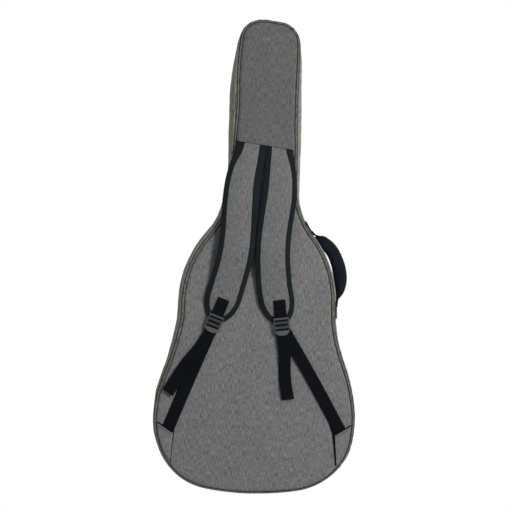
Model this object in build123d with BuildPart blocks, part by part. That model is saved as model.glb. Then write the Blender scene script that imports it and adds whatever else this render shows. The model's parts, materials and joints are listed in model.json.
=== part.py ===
from build123d import *
from math import asin, atan, cos, degrees, radians, sin
import os

os.makedirs("parts", exist_ok=True)

# A padded gig bag for a full-size acoustic guitar. It lies on its front, the pocket side, with the
# back panel and the rucksack straps up. X is across the bag, +Y points to its head and +Z is up.
# The origin is on the floor, under the middle of the bag. All sizes are in millimetres.

# ---- overall size ----
overall_length = 1092.0
lower_bout_width = 466.0
waist_width = 367.0
neck_width = 166.0
bag_depth = 130.0            # from the pocket's face to the back panel, without the straps

# ---- outline, measured along the bag from its bottom end ----
widest_height = 163.0
waist_height = 431.0
shoulder_height = 441.0
collar_height = 711.0        # where the shoulders have run into the straight neck
bottom_radius = 600.0
shoulder_share = 0.61        # the shoulder arc's share of the two radii of the shoulder bend
head_side_radius = 950.0
head_side_sweep = 9.4
head_corner_radius = 51.0
head_top_radius = 316.0

# ---- padded walls: outer fabric over foam and lining ----
fabric = 1.2
padding = 8.8
wall = fabric + padding

# ---- gussets, zip and piping ----
pocket_thickness = 10.0
front_gusset_height = 32.0
zip_gap = 14.0               # width of the zip tape that shows between the two gussets
zip_inset = 3.0              # how far the zip lies in from the gussets' outer faces
zip_thickness = 2.4
coil_height = 4.0
tape_thickness = 1.0
coil_thickness = 2.0
piping_inset = 3.0
piping_proud = 1.5
piping_foot = 4.0            # how far the piping reaches down into the corner seam
fold_gap = 0.3               # between the two halves, along the closed zip
hinge_width = 180.0          # stretch of the bottom gusset that is sewn, not zipped

# ---- interior ----
neck_rest_length = 60.0
neck_rest_width = 110.0
neck_rest_height = 52.0
neck_rest_from_bottom = 706.0
neck_groove_radius = 34.0
neck_groove_depth = 25.0
neck_strap_width = 25.0
neck_strap_thickness = 1.6
end_pad_width = 140.0
end_pad_height = 52.0
end_pad_thickness = 10.0
bridge_pad_length = 90.0
bridge_pad_width = 190.0
bridge_pad_thickness = 5.0
bridge_pad_corner = 15.0
bridge_pad_from_bottom = 190.0

# ---- pockets on the front ----
pocket_margin = 4.0
large_pocket_top = 436.0     # from the bottom end of the bag
neck_pocket_bottom = 646.0
neck_pocket_top = 1006.0
pocket_zip_length = 300.0
pocket_zip_width = 26.0

# ---- shoulder straps ----
seam_height = 803.0          # where the neck panel covers the strap tops, on the centreline
seam_slope = 6.5             # the seam runs down towards the right shoulder
hem_overlap = 14.0
binding_width = 9.0
strap_thickness = 10.0       # mesh backing, foam and fabric cover, sewn together by the binding
binding_wrap = 0.4           # how far the binding stands above and below the pad
strap_rise = 14.0            # lift of the pad over the middle of the back
strap_bend_length = 110.0    # each of the two bends that lift it
strap_gap = 2.2              # between the strap's ends and the back panel, clear of the piping
seam_gap = 0.6               # between the strap tops and the hem that covers them
strap_flat_end = 70.0        # flat stretch of the strap at its lower end
strap_flat_top = 12.0        # and at the seam
strap_half_widths = (32.0, 36.5, 37.0, 37.0, 31.0)   # evenly spaced from the seam to the lower end
strap_corner = 22.0          # radius of the pad's lower corners

# ---- webbing and ladder-lock buckles ----
webbing_width = 28.0
webbing_thickness = 1.6
buckle_width = webbing_width + 7.0
buckle_length = 41.0
buckle_thickness = 3.2
buckle_rail = 2.6
bar_radius = 2.0
bar_clearance = 0.3
loop_patch_length = 43.0
slot_height = 4.6
lip_length = 11.0
lip_lift = 9.0               # degrees that the lip stands up, to be levered by a thumb
lip_corner = 14.0
guard_thickness = 1.4        # of the flat bar over the webbing that is folded round the top bar
guard_depth = 4.4
guard_gap = 0.3
rail_rise = 1.2
rib_radius = 1.0
pad_to_bar = 4.6
webbing_in_buckle = 22.0     # how far the lower webbing runs in under the buckle
under_buckle = 1.0           # free height between the free tail and the webbing below it
webbing_gap = 0.6            # between the webbing's lower end and the back panel
loop_end_gap = 0.6
anchor_thickness = 2.4
anchor_gap = 0.8

# ---- carry handle on the right gusset ----
handle_from = 0.0            # angles about the centre of the shoulder arc
handle_to = 40.0
handle_grip_from = 3.0
handle_grip_to = 37.0
handle_gap = 6.5             # between the gusset and the grip, at the grip's middle
handle_thickness = 23.5
grip_end_gap = 3.4           # the grip is a crescent, thinner and closer to the gusset at its ends
grip_end_thickness = 9.0
handle_height = 30.0
handle_webbing = 2.4
handle_webbing_height = 25.0
handle_end_gap = 2.7         # between the webbing's ends and the gusset
handle_tab_thickness = 4.3
handle_tab_gap = 1.18        # from the middle of the webbing's slanted end
handle_tab_length = 42.0
handle_chamfer = 3.5

# ---- zip sliders ----
slider_length = 15.0
slider_width = 11.0
slider_plate = 1.6
slider_corner = 3.0
slider_clearance = 0.3
bridge_length = 9.0
bridge_width = 2.6
bridge_tunnel = 2.4
bridge_wall = 1.4
puller_length = 34.0
puller_width = 8.0
puller_thickness = 1.8
puller_play = 0.5
puller_chamfer = 1.5
puller_slot = 3.0
main_sliders_from_bottom = 791.0
main_sliders_apart = 24.0
pocket_slider_x = -110.0

# ---- derived levels and places ----
bottom_y = -overall_length / 2
head_y = overall_length / 2
lower_half = lower_bout_width / 2
waist_half = waist_width / 2
neck_half = neck_width / 2
front_z = pocket_thickness
front_gusset_top = front_z + front_gusset_height
back_gusset_low = front_gusset_top + zip_gap
zip_z = (front_gusset_top + back_gusset_low) / 2
back_z = bag_depth
seam_y = bottom_y + seam_height

# radii and sweeps of the outline's arcs
bottom_drop = bottom_radius - widest_height
corner_radius = (bottom_radius**2 - lower_half**2 - bottom_drop**2) / (2 * (bottom_radius - lower_half))
bottom_sweep = degrees(asin((lower_half - corner_radius) / (bottom_radius - corner_radius)))


def bend(across, along):
    """Sum of the two radii, and the sweep of each, of an S-bend between two parallel lines."""
    return (across**2 + along**2) / (2 * across), 2 * degrees(atan(across / along))


hip_radii, hip_sweep = bend(lower_half - waist_half, waist_height - widest_height)
hip_radius = hip_radii / 2
shoulder_radii, shoulder_sweep = bend(waist_half - neck_half, collar_height - shoulder_height)
shoulder_radius = shoulder_share * shoulder_radii
collar_radius = shoulder_radii - shoulder_radius
head_lean = radians(head_side_sweep)
head_half = neck_half - head_side_radius * (1 - cos(head_lean))
head_top_sweep = degrees(
    asin((head_half - head_corner_radius * cos(head_lean)) / (head_top_radius - head_corner_radius))
)
head_corner_sweep = 90 - head_side_sweep - head_top_sweep
head_corner_drop = (head_top_radius - head_corner_radius) * cos(radians(head_top_sweep))
head_corner_y = head_y - head_top_radius + head_corner_drop
neck_end_y = head_corner_y + (head_corner_radius - head_side_radius) * sin(head_lean)
shoulder_centre = Vector(waist_half - shoulder_radius, bottom_y + shoulder_height)


def bag_outline(inset):
    """The bag's outline seen from the back, moved inwards by inset."""
    with BuildSketch() as outline:
        with BuildLine():
            bottom = JernArc((0, bottom_y + inset), (1, 0), bottom_radius - inset, bottom_sweep)
            corner = JernArc(bottom @ 1, bottom % 1, corner_radius - inset, 90 - bottom_sweep)
            hip = JernArc(corner @ 1, corner % 1, hip_radius - inset, hip_sweep)
            waist = JernArc(hip @ 1, hip % 1, hip_radius + inset, -hip_sweep)
            side = Line(waist @ 1, (waist_half - inset, bottom_y + shoulder_height))
            shoulder = JernArc(side @ 1, side % 1, shoulder_radius - inset, shoulder_sweep)
            collar = JernArc(shoulder @ 1, shoulder % 1, collar_radius + inset, -shoulder_sweep)
            neck = Line(collar @ 1, (neck_half - inset, neck_end_y))
            cheek = JernArc(neck @ 1, neck % 1, head_side_radius - inset, head_side_sweep)
            crown = JernArc(cheek @ 1, cheek % 1, head_corner_radius - inset, head_corner_sweep)
            JernArc(crown @ 1, crown % 1, head_top_radius - inset, head_top_sweep)
            mirror(about=Plane.YZ)
        make_face()
    return outline.sketch


def bag_plate(inset, low, high):
    """A flat panel of the bag's outline."""
    with BuildPart() as plate:
        with BuildSketch(Plane.XY.offset(low)):
            add(bag_outline(inset))
        extrude(amount=high - low)
    return plate.part


def bag_band(outer, inner, low, high):
    """An upright wall between two insets of the bag's outline."""
    with BuildPart() as band:
        with BuildSketch(Plane.XY.offset(low)):
            add(bag_outline(outer))
            add(bag_outline(inner), mode=Mode.SUBTRACT)
        extrude(amount=high - low)
    return band.part


def write(part, name):
    """Label a finished piece and write it to its own file."""
    part.label = name
    export_step(part, f"parts/{name}.step")


# ======== the two halves ========
# Each half has an upright padded gusset with piping in its corner seam and half of the zip along its
# free edge, and, across the bottom, one leaf of the sewn hinge that the bag opens about.
halves = {
    # name: outer face of the panel, direction into the bag, free edge of the gusset
    "front": (front_z, 1, front_gusset_top),
    "back": (back_z, -1, back_gusset_low),
}
with BuildPart() as hinge_room:
    with BuildSketch():
        with Locations((0, bottom_y)):
            Rectangle(hinge_width, hinge_width)
    extrude(amount=bag_depth)

for half, (face_z, inward, edge_z) in halves.items():
    corner_z = face_z + inward * piping_foot
    crest_z = face_z - inward * piping_proud
    teeth_z = zip_z - inward * fold_gap / 2

    with BuildPart() as piping:
        add(bag_band(piping_inset, wall, min(crest_z, corner_z), max(crest_z, corner_z)))
    write(piping.part, f"{half}_piping")

    with BuildPart() as gusset:
        add(bag_band(0, wall, min(corner_z, edge_z), max(corner_z, edge_z)))
    write(gusset.part, f"{half}_gusset")

    tape_band = bag_band(zip_inset, zip_inset + zip_thickness, min(teeth_z, edge_z), max(teeth_z, edge_z))
    with BuildPart() as zip_half:
        add(tape_band)
        add(hinge_room.part, mode=Mode.SUBTRACT)
    write(zip_half.part, f"{half}_zip_half")

    with BuildPart() as hinge_leaf:
        add(tape_band)
        add(hinge_room.part, mode=Mode.INTERSECT)
    write(hinge_leaf.part, f"{half}_hinge_leaf")

# ======== panels ========
# The front panel is one padded board. The back's padding lies under two pieces of outer fabric.
seam_line = Plane(origin=(0, seam_y, 0), x_dir=Vector(1, 0, 0).rotate(Axis.Z, -seam_slope), z_dir=(0, 0, 1))


def above_seam(offset):
    """The half of the back above the strap seam, or above a line parallel to it."""
    with BuildSketch(seam_line) as above:
        with Locations((0, offset)):
            Rectangle(2 * lower_bout_width, overall_length, align=(Align.CENTER, Align.MIN))
    return above.sketch


with BuildPart() as front_panel:
    add(bag_plate(wall, front_z, front_z + wall))
write(front_panel.part, "front_panel")

with BuildPart() as back_padding:
    add(bag_plate(wall, back_z - wall, back_z - fabric))
write(back_padding.part, "back_padding")

with BuildPart() as back_panel:
    with BuildSketch(Plane.XY.offset(back_z - fabric)):
        add(bag_outline(wall))
        add(above_seam(hem_overlap), mode=Mode.SUBTRACT)
    extrude(amount=fabric)
write(back_panel.part, "back_panel")

# the neck panel's hem laps over the back panel and the strap tops
with BuildPart() as neck_panel:
    with BuildSketch(Plane.XY.offset(back_z)):
        add(bag_outline(wall))
        add(above_seam(0), mode=Mode.INTERSECT)
    extrude(amount=fabric)
    with BuildSketch(Plane.XY.offset(back_z)):
        add(bag_outline(wall))
        add(above_seam(hem_overlap), mode=Mode.INTERSECT)
    extrude(amount=-fabric)
write(neck_panel.part, "neck_panel")

# ======== pockets on the front, lying flat ========
pocket_inset = wall + pocket_margin


def pocket(low, high):
    """A flat pocket across the front, between two distances from the bag's bottom end."""
    with BuildPart() as body:
        with BuildSketch():
            add(bag_outline(pocket_inset))
            with Locations((0, bottom_y + (low + high) / 2)):
                Rectangle(lower_bout_width, high - low, mode=Mode.INTERSECT)
        extrude(amount=pocket_thickness)
    return body.part


write(pocket(0, large_pocket_top), "large_pocket")
write(pocket(neck_pocket_bottom, neck_pocket_top), "neck_pocket")

pocket_zip_y = bottom_y + large_pocket_top + pocket_zip_width / 2
with BuildPart() as pocket_zip:
    with BuildSketch(Plane.XY.offset(front_z)):
        with Locations((0, pocket_zip_y)):
            Rectangle(pocket_zip_length, pocket_zip_width)
    extrude(amount=-tape_thickness)
    with BuildSketch(Plane.XY.offset(front_z - tape_thickness)):
        with Locations((0, pocket_zip_y)):
            Rectangle(pocket_zip_length, coil_height)
    extrude(amount=-coil_thickness)
write(pocket_zip.part, "pocket_zip")

# ======== interior ========
floor_z = front_z + wall
ceiling_z = back_z - wall
neck_rest_y = bottom_y + neck_rest_from_bottom
neck_rest_low = ceiling_z - neck_rest_height

with BuildPart() as neck_rest:
    with BuildSketch(Plane.XZ.offset(-neck_rest_y)):
        with Locations((0, neck_rest_low)):
            Rectangle(neck_rest_width, neck_rest_height, align=(Align.CENTER, Align.MIN))
        with Locations((0, neck_rest_low - neck_groove_radius + neck_groove_depth)):
            Circle(neck_groove_radius, mode=Mode.SUBTRACT)
    extrude(amount=neck_rest_length / 2, both=True)
write(neck_rest.part, "neck_rest")

with BuildPart() as neck_strap:
    with BuildSketch(Plane.XY.offset(neck_rest_low)):
        with Locations((0, neck_rest_y)):
            Rectangle(neck_rest_width, neck_strap_width)
    extrude(amount=-neck_strap_thickness)
write(neck_strap.part, "neck_strap")

with BuildPart() as end_pad:
    add(bag_band(wall, wall + end_pad_thickness, ceiling_z - end_pad_height, ceiling_z))
    with BuildSketch():
        with Locations((0, bottom_y)):
            Rectangle(end_pad_width, overall_length)
    extrude(amount=bag_depth, mode=Mode.INTERSECT)
write(end_pad.part, "end_pad")

with BuildPart() as bridge_pad:
    with BuildSketch(Plane.XY.offset(floor_z)):
        with Locations((0, bottom_y + bridge_pad_from_bottom)):
            pad_outline = Rectangle(bridge_pad_width, bridge_pad_length)
            chamfer(pad_outline.vertices(), bridge_pad_corner)
    extrude(amount=bridge_pad_thickness)
write(bridge_pad.part, "bridge_pad")

# ======== ladder-lock buckles ========
# Each buckle is built about its top bar: x along the bar, y down the webbing to the lip, z up.
strap_under = back_z + strap_gap
loop_outer = bar_radius + bar_clearance + webbing_thickness
bar_z = strap_under + strap_thickness + binding_wrap + webbing_thickness - loop_outer
lip_end = buckle_length - bar_radius
guard_top = loop_outer + guard_gap + guard_thickness
ladder_bar = (lip_end - lip_length - bar_radius - 3 * slot_height) / 2
slot_starts = [bar_radius + i * (slot_height + ladder_bar) for i in range(3)]

sides = {
    # name: middle of the top bar, heading of the buckle from -Y
    "left": (Vector(-97.5, seam_y - 397.0, bar_z), -20.0),
    "right": (Vector(50.0, seam_y - 397.0, bar_z), 8.5),
}


def heading(angle):
    """Unit vector that points down the bag, turned by angle."""
    return Vector(0, -1, 0).rotate(Axis.Z, angle)


def lock_plane(side):
    bar, angle = sides[side]
    return Plane(origin=bar, x_dir=heading(angle).rotate(Axis.Z, -90), z_dir=(0, 0, 1))


def ladder_lock(plane):
    """Ladder-lock buckle: round top bar under a guard, two ribbed ladder bars and a lifting lip."""
    across = Plane(origin=plane.origin, x_dir=plane.y_dir, z_dir=plane.x_dir)
    with BuildPart() as buckle:
        with BuildSketch(across):
            with BuildLine():
                Polyline(
                    (0, -buckle_thickness / 2),
                    (lip_end - lip_length, -buckle_thickness / 2),
                    (lip_end, -buckle_thickness / 2 + lip_length * sin(radians(lip_lift))),
                    (lip_end, buckle_thickness / 4 + lip_length * sin(radians(lip_lift))),
                    (lip_end - lip_length, buckle_thickness / 2),
                    (0, buckle_thickness / 2),
                    close=True,
                )
            make_face()
        extrude(amount=buckle_width / 2, both=True)
        with BuildSketch(plane.offset(-buckle_thickness / 2)):
            for x in (-1, 1):
                with Locations((x * (buckle_width - buckle_rail) / 2, -bar_radius)):
                    Rectangle(buckle_rail, lip_end - lip_length + bar_radius, align=(Align.CENTER, Align.MIN))
        extrude(amount=buckle_thickness + rail_rise)
        chamfer(buckle.edges().filter_by(Axis(plane.origin, plane.y_dir)).group_by(Axis.Z)[-1], rail_rise / 2)
        with BuildSketch(plane.offset(-buckle_width)):
            with Locations((0, lip_end)):
                lip_outline = Rectangle(buckle_width, buckle_length, align=(Align.CENTER, Align.MAX))
            fillet(lip_outline.vertices().sort_by(Axis.Y)[-2:], lip_corner)
        extrude(amount=2 * buckle_width, mode=Mode.INTERSECT)
        with BuildSketch(plane.offset(-buckle_width)):
            for start in slot_starts:
                with Locations((0, start)):
                    Rectangle(buckle_width - 2 * buckle_rail, slot_height, align=(Align.CENTER, Align.MIN))
            with Locations((0, 0)):
                Rectangle(buckle_width - 2 * buckle_rail, 2 * bar_radius)
        extrude(amount=2 * buckle_width, mode=Mode.SUBTRACT)
        with BuildSketch(across):
            Circle(bar_radius)
            for start in slot_starts[1:]:
                for share in (1 / 4, 3 / 4):
                    with Locations((start - ladder_bar * share, buckle_thickness / 2)):
                        RegularPolygon(rib_radius, 4)
        extrude(amount=buckle_width / 2 - buckle_rail / 2, both=True)
        with BuildSketch(plane.offset(-buckle_thickness / 2)):
            for x in (-1, 1):
                with Locations((x * (buckle_width - buckle_rail) / 2, -bar_radius)):
                    Rectangle(buckle_rail, guard_depth, align=(Align.CENTER, Align.MIN))
        extrude(amount=buckle_thickness / 2 + guard_top)
        with BuildSketch(plane.offset(guard_top)):
            with Locations((0, -bar_radius)):
                Rectangle(buckle_width, guard_depth, align=(Align.CENTER, Align.MIN))
        extrude(amount=-guard_thickness)
    return buckle.part


for side in sides:
    write(ladder_lock(lock_plane(side)), f"buckle_{side}")

# ======== shoulder straps ========
# Each pad follows its own line from the seam to its buckle, and is lifted over the middle of the back.
strap_lines = {
    "left": [(-33.5, seam_y + 8), (-54.0, seam_y - 122), (-59.5, seam_y - 245)],
    "right": [(33.5, seam_y + 8), (39.5, seam_y - 118), (31.5, seam_y - 235)],
}


def strap_plan(side, trim):
    """Outline of a strap pad, moved inwards by trim, with its lower corners rounded."""
    bar, angle = sides[side]
    tip = bar - heading(angle) * (pad_to_bar + trim)
    with BuildLine() as middle:
        line = Spline(*strap_lines[side], (tip.X, tip.Y), tangents=[(0, -1), tuple(heading(angle))[:2]])
    stations = [i / (len(strap_half_widths) - 1) for i in range(len(strap_half_widths))]
    edges = []
    for hand in (-1, 1):
        edges.append([
            line @ t + (line % t).rotate(Axis.Z, 90) * hand * (half - trim)
            for t, half in zip(stations, strap_half_widths)
        ])
    with BuildSketch() as plan:
        with BuildLine():
            Spline(*edges[0])
            Spline(*edges[1])
            Line(edges[0][0], edges[1][0])
            Line(edges[0][-1], edges[1][-1])
        make_face()
        fillet(plan.vertices().sort_by(Axis.Y)[:2], strap_corner - trim)
        add(above_seam(-seam_gap), mode=Mode.SUBTRACT)
    return plan.sketch


lift_radii, lift_sweep = bend(strap_rise, strap_bend_length)
strap_end_y = sides["left"][0].Y - 2 * pad_to_bar
strap_top_bend = seam_y - strap_flat_top - strap_bend_length


def lift_line(height):
    """The strap's side view at a height above its underside, from its lower end up to the seam."""
    up, down = lift_radii / 2 - height, lift_radii / 2 + height
    start = Line((strap_end_y, strap_under + height), (strap_end_y + strap_flat_end, strap_under + height))
    rise = JernArc(start @ 1, start % 1, up, lift_sweep)
    crest = JernArc(rise @ 1, rise % 1, down, -lift_sweep)
    back = Line(crest @ 1, (strap_top_bend, strap_under + strap_rise + height))
    fall = JernArc(back @ 1, back % 1, down, -lift_sweep)
    level = JernArc(fall @ 1, fall % 1, up, lift_sweep)
    end = Line(level @ 1, (seam_y + strap_bend_length, strap_under + height))
    return start @ 0, end @ 1


def strap_layer(side, trim, low, high):
    """A layer of a strap between two heights above its underside."""
    with BuildPart() as layer:
        with BuildSketch(Plane.YZ):
            with BuildLine():
                under = lift_line(low)
                over = lift_line(high)
                Line(under[0], over[0])
                Line(under[1], over[1])
            make_face()
        extrude(amount=lower_half, both=True)
        with BuildSketch():
            add(strap_plan(side, trim))
        extrude(amount=2 * bag_depth, mode=Mode.INTERSECT)
    return layer.part


for side in sides:
    write(strap_layer(side, binding_width, 0, strap_thickness), f"strap_pad_{side}")
    binding_span = -binding_wrap, strap_thickness + binding_wrap
    with BuildPart() as binding:
        add(strap_layer(side, 0, *binding_span))
        add(strap_layer(side, binding_width, *binding_span), mode=Mode.SUBTRACT)
    write(binding.part, f"strap_binding_{side}")

    # webbing sewn on the pad, folded round the buckle's top bar
    lock = lock_plane(side)
    across = Plane(origin=lock.origin, x_dir=lock.y_dir, z_dir=lock.x_dir)
    with BuildPart() as loop:
        with BuildSketch(across):
            Circle(loop_outer)
            Circle(bar_radius + bar_clearance, mode=Mode.SUBTRACT)
            Rectangle(2 * loop_outer, 2 * loop_outer, align=(Align.MAX, Align.CENTER), mode=Mode.SUBTRACT)
            with Locations((0, loop_outer)):
                Rectangle(loop_patch_length, webbing_thickness, align=(Align.MAX, Align.MAX))
            with Locations((0, -loop_outer)):
                Rectangle(pad_to_bar - loop_end_gap, webbing_thickness, align=(Align.MAX, Align.MIN))
        extrude(amount=webbing_width / 2, both=True)
    write(loop.part, f"strap_loop_{side}")

# ======== lower webbing, its anchors and the free tails ========
anchor_corners = {
    # name: outer end of the top edge, inner end of the top edge, foot at the piping
    "left": [
        (10.0 - lower_half, bottom_y + 161.0),
        (46.5 - lower_half, bottom_y + 137.0),
        (43.0 - lower_half, bottom_y + 71.0),
    ],
    "right": [
        (lower_half - 10.0, bottom_y + 166.0),
        (lower_half - 46.5, bottom_y + 143.0),
        (lower_half - 40.5, bottom_y + 74.0),
    ],
}
tails = {
    # name: heading and length from the lip
    "left": (-31.0, 172.0),
    "right": (6.5, 150.0),
}
webbing_low = back_z + webbing_gap
tail_start = slot_starts[1] + slot_height
half_webbing = webbing_width / 2

for side in sides:
    outer, inner, foot = (Vector(*corner) for corner in anchor_corners[side])
    edge = (outer - inner).normalized()
    up_the_bag = edge.rotate(Axis.Z, 90 if side == "right" else -90)

    # triangular tab in the corner of the back panel
    past_outer = inner + edge * webbing_width * 3
    past_foot = inner + (foot - inner) * 1.5
    with BuildPart() as anchor:
        with BuildSketch(Plane.XY.offset(back_z)):
            with BuildLine():
                Polyline(past_outer, inner, past_foot, (past_outer.X, past_foot.Y), close=True)
            make_face()
            add(bag_outline(wall), mode=Mode.INTERSECT)
        extrude(amount=anchor_thickness)
    write(anchor.part, f"strap_anchor_{side}")

    # lower webbing, from the tab's top edge to the space under the buckle
    lock = lock_plane(side)
    corner = inner + up_the_bag * anchor_gap + Vector(0, 0, webbing_low)
    depth = -buckle_thickness / 2 - 2 * webbing_thickness - under_buckle
    top = lock.from_local_coords(Vector(0, lip_end - webbing_in_buckle, depth))
    low = corner + edge * half_webbing
    for _ in range(3):
        run = top - low
        across = run.cross(Vector(0, 0, 1)).normalized()
        low = corner + edge * half_webbing / abs(edge.dot(across))
    skew = edge.dot(run.normalized()) / edge.dot(across)
    with BuildPart() as webbing:
        with BuildSketch(Plane(origin=low, x_dir=across, z_dir=across.cross(run))):
            with BuildLine():
                Polyline(
                    (-half_webbing, -half_webbing * skew),
                    (half_webbing, half_webbing * skew),
                    (half_webbing, run.length),
                    (-half_webbing, run.length),
                    close=True,
                )
            make_face()
        extrude(amount=webbing_thickness)
    write(webbing.part, f"webbing_{side}")

    # free tail, out from under the lip
    turn, length = tails[side]
    start = lock.from_local_coords(Vector(0, tail_start, -buckle_thickness / 2))
    with BuildPart() as tail:
        with BuildSketch(Plane(origin=start, x_dir=heading(turn).rotate(Axis.Z, -90), z_dir=(0, 0, 1))):
            Rectangle(webbing_width, lip_end - tail_start + length, align=(Align.CENTER, Align.MIN))
        extrude(amount=-webbing_thickness)
    write(tail.part, f"webbing_tail_{side}")

# ======== carry handle on the right gusset ========
handle_z = (back_gusset_low + back_z - piping_foot) / 2
grip_inner = shoulder_radius + handle_gap
grip_end_inner = shoulder_radius + grip_end_gap
grip_end_middle = grip_end_inner + grip_end_thickness / 2
handle_end_radius = shoulder_radius + handle_end_gap + handle_webbing / 2


def polar(radius, angle):
    """A point about the centre of the shoulder arc."""
    return shoulder_centre + Vector(radius, 0).rotate(Axis.Z, angle)


def crescent(middle, end):
    """An arc through the grip's two ends and its middle, at those radii."""
    halfway = (handle_grip_from + handle_grip_to) / 2
    return ThreePointArc(polar(end, handle_grip_from), polar(middle, halfway), polar(end, handle_grip_to))


with BuildPart() as handle_grip:
    with BuildSketch(Plane.XY.offset(handle_z)):
        with BuildLine():
            inside = crescent(grip_inner, grip_end_inner)
            outside = crescent(grip_inner + handle_thickness, grip_end_inner + grip_end_thickness)
            Line(inside @ 0, outside @ 0)
            Line(inside @ 1, outside @ 1)
        make_face()
    extrude(amount=handle_height / 2, both=True)
    chamfer(handle_grip.edges().filter_by(GeomType.CIRCLE), handle_chamfer)
write(handle_grip.part, "handle_grip")

# the webbing runs straight from each end of the grip to its tab
handle_ends = {
    # name: angle at the tab, angle at the grip's end
    "lower": (handle_from, handle_grip_from),
    "upper": (handle_to, handle_grip_to),
}
for name, (tab_angle, grip_angle) in handle_ends.items():
    with BuildPart() as handle_webbing_end:
        with BuildSketch(Plane.XY.offset(handle_z)):
            with BuildLine():
                at_tab = polar(handle_end_radius, tab_angle)
                at_grip = polar(grip_end_middle, grip_angle)
                Line(at_tab, at_grip + (at_grip - at_tab).normalized() * handle_webbing)
            trace(line_width=handle_webbing)
        extrude(amount=handle_webbing_height / 2, both=True)
        add(handle_grip.part, mode=Mode.SUBTRACT)
    write(handle_webbing_end.part, f"handle_webbing_{name}")

# webbing tabs that hold the handle's ends, sewn on the gusset
tab_low = handle_z - handle_webbing_height / 2
tab_high = handle_z + handle_webbing_height / 2
# the tabs end on planes square to the chord that the handle flexes about
chord_square = Vector(1, 0).rotate(Axis.Z, (handle_from + handle_to) / 2)
tab_ends = {
    "lower": (handle_from, -handle_tab_gap, Align.MAX),
    "upper": (handle_to, handle_tab_gap, Align.MIN),
}
for name, (angle, gap, align) in tab_ends.items():
    with BuildPart() as tab:
        add(bag_band(-handle_tab_thickness, 0, tab_low, tab_high))
        with BuildSketch(Plane(origin=polar(handle_end_radius, angle), x_dir=chord_square, z_dir=(0, 0, 1))):
            with Locations((0, gap)):
                Rectangle(2 * handle_tab_length, handle_tab_length, align=(Align.CENTER, align))
        extrude(amount=bag_depth, mode=Mode.INTERSECT)
    write(tab.part, f"handle_tab_{name}")

# ======== zip sliders and pullers ========
def zip_slider(plane):
    """Top half of a slider, on a zip's coil: plate with cut corners and the bridge for the puller."""
    side_view = Plane(origin=plane.origin, x_dir=plane.x_dir, z_dir=-plane.y_dir)
    plate_top = slider_clearance + slider_plate
    with BuildPart() as slider:
        with BuildSketch(plane.offset(slider_clearance)):
            nose = Rectangle(slider_length, slider_width)
            chamfer(nose.vertices(), slider_corner)
        extrude(amount=slider_plate)
        with BuildSketch(side_view):
            with Locations((0, plate_top)):
                arch = Rectangle(bridge_length, bridge_tunnel + bridge_wall, align=(Align.CENTER, Align.MIN))
                chamfer(arch.vertices().sort_by(Axis.Y)[-2:], bridge_wall)
                Rectangle(
                    bridge_length - 2 * bridge_wall,
                    bridge_tunnel,
                    align=(Align.CENTER, Align.MIN),
                    mode=Mode.SUBTRACT,
                )
        extrude(amount=bridge_width / 2, both=True)
    return slider.part


def zip_puller(plane):
    """Puller that lies flat behind its slider: a round pin in the bridge, two arms and a tab."""
    pin = puller_thickness / 2
    level = slider_clearance + slider_plate + bridge_tunnel / 2
    arm_gap = bridge_width + 2 * puller_play
    window = bridge_length / 2 + puller_play
    with BuildPart() as puller:
        with BuildSketch(plane.offset(level)):
            tab = Rectangle(puller_length, puller_width, align=(Align.MAX, Align.CENTER))
            chamfer(tab.vertices().sort_by(Axis.X)[:2], puller_chamfer)
            Rectangle(window, arm_gap, align=(Align.MAX, Align.CENTER), mode=Mode.SUBTRACT)
            with Locations((-puller_length + 2 * puller_slot, 0)):
                Rectangle(2 * puller_slot, puller_slot, mode=Mode.SUBTRACT)
        extrude(amount=pin, both=True)
        with BuildSketch(Plane(origin=plane.origin, x_dir=plane.x_dir, z_dir=-plane.y_dir)):
            with Locations((0, level)):
                Circle(pin)
        extrude(amount=puller_width / 2, both=True)
    return puller.part


slider_y = bottom_y + main_sliders_from_bottom
coil_face = neck_half - zip_inset
slider_planes = {
    "lower_zip": Plane(
        origin=(coil_face, slider_y - main_sliders_apart / 2, zip_z), x_dir=(0, 1, 0), z_dir=(1, 0, 0)
    ),
    "upper_zip": Plane(
        origin=(coil_face, slider_y + main_sliders_apart / 2, zip_z), x_dir=(0, -1, 0), z_dir=(1, 0, 0)
    ),
    "pocket_zip": Plane(
        origin=(pocket_slider_x, pocket_zip_y, front_z - tape_thickness - coil_thickness),
        x_dir=(-1, 0, 0),
        z_dir=(0, 0, -1),
    ),
}
for name, plane in slider_planes.items():
    write(zip_slider(plane), f"{name}_slider")
    write(zip_puller(plane), f"{name}_puller")
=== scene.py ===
import json
import math

import bmesh
import bpy
import numpy as np
from mathutils import Matrix, Vector
from mathutils.geometry import delaunay_2d_cdt

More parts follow.
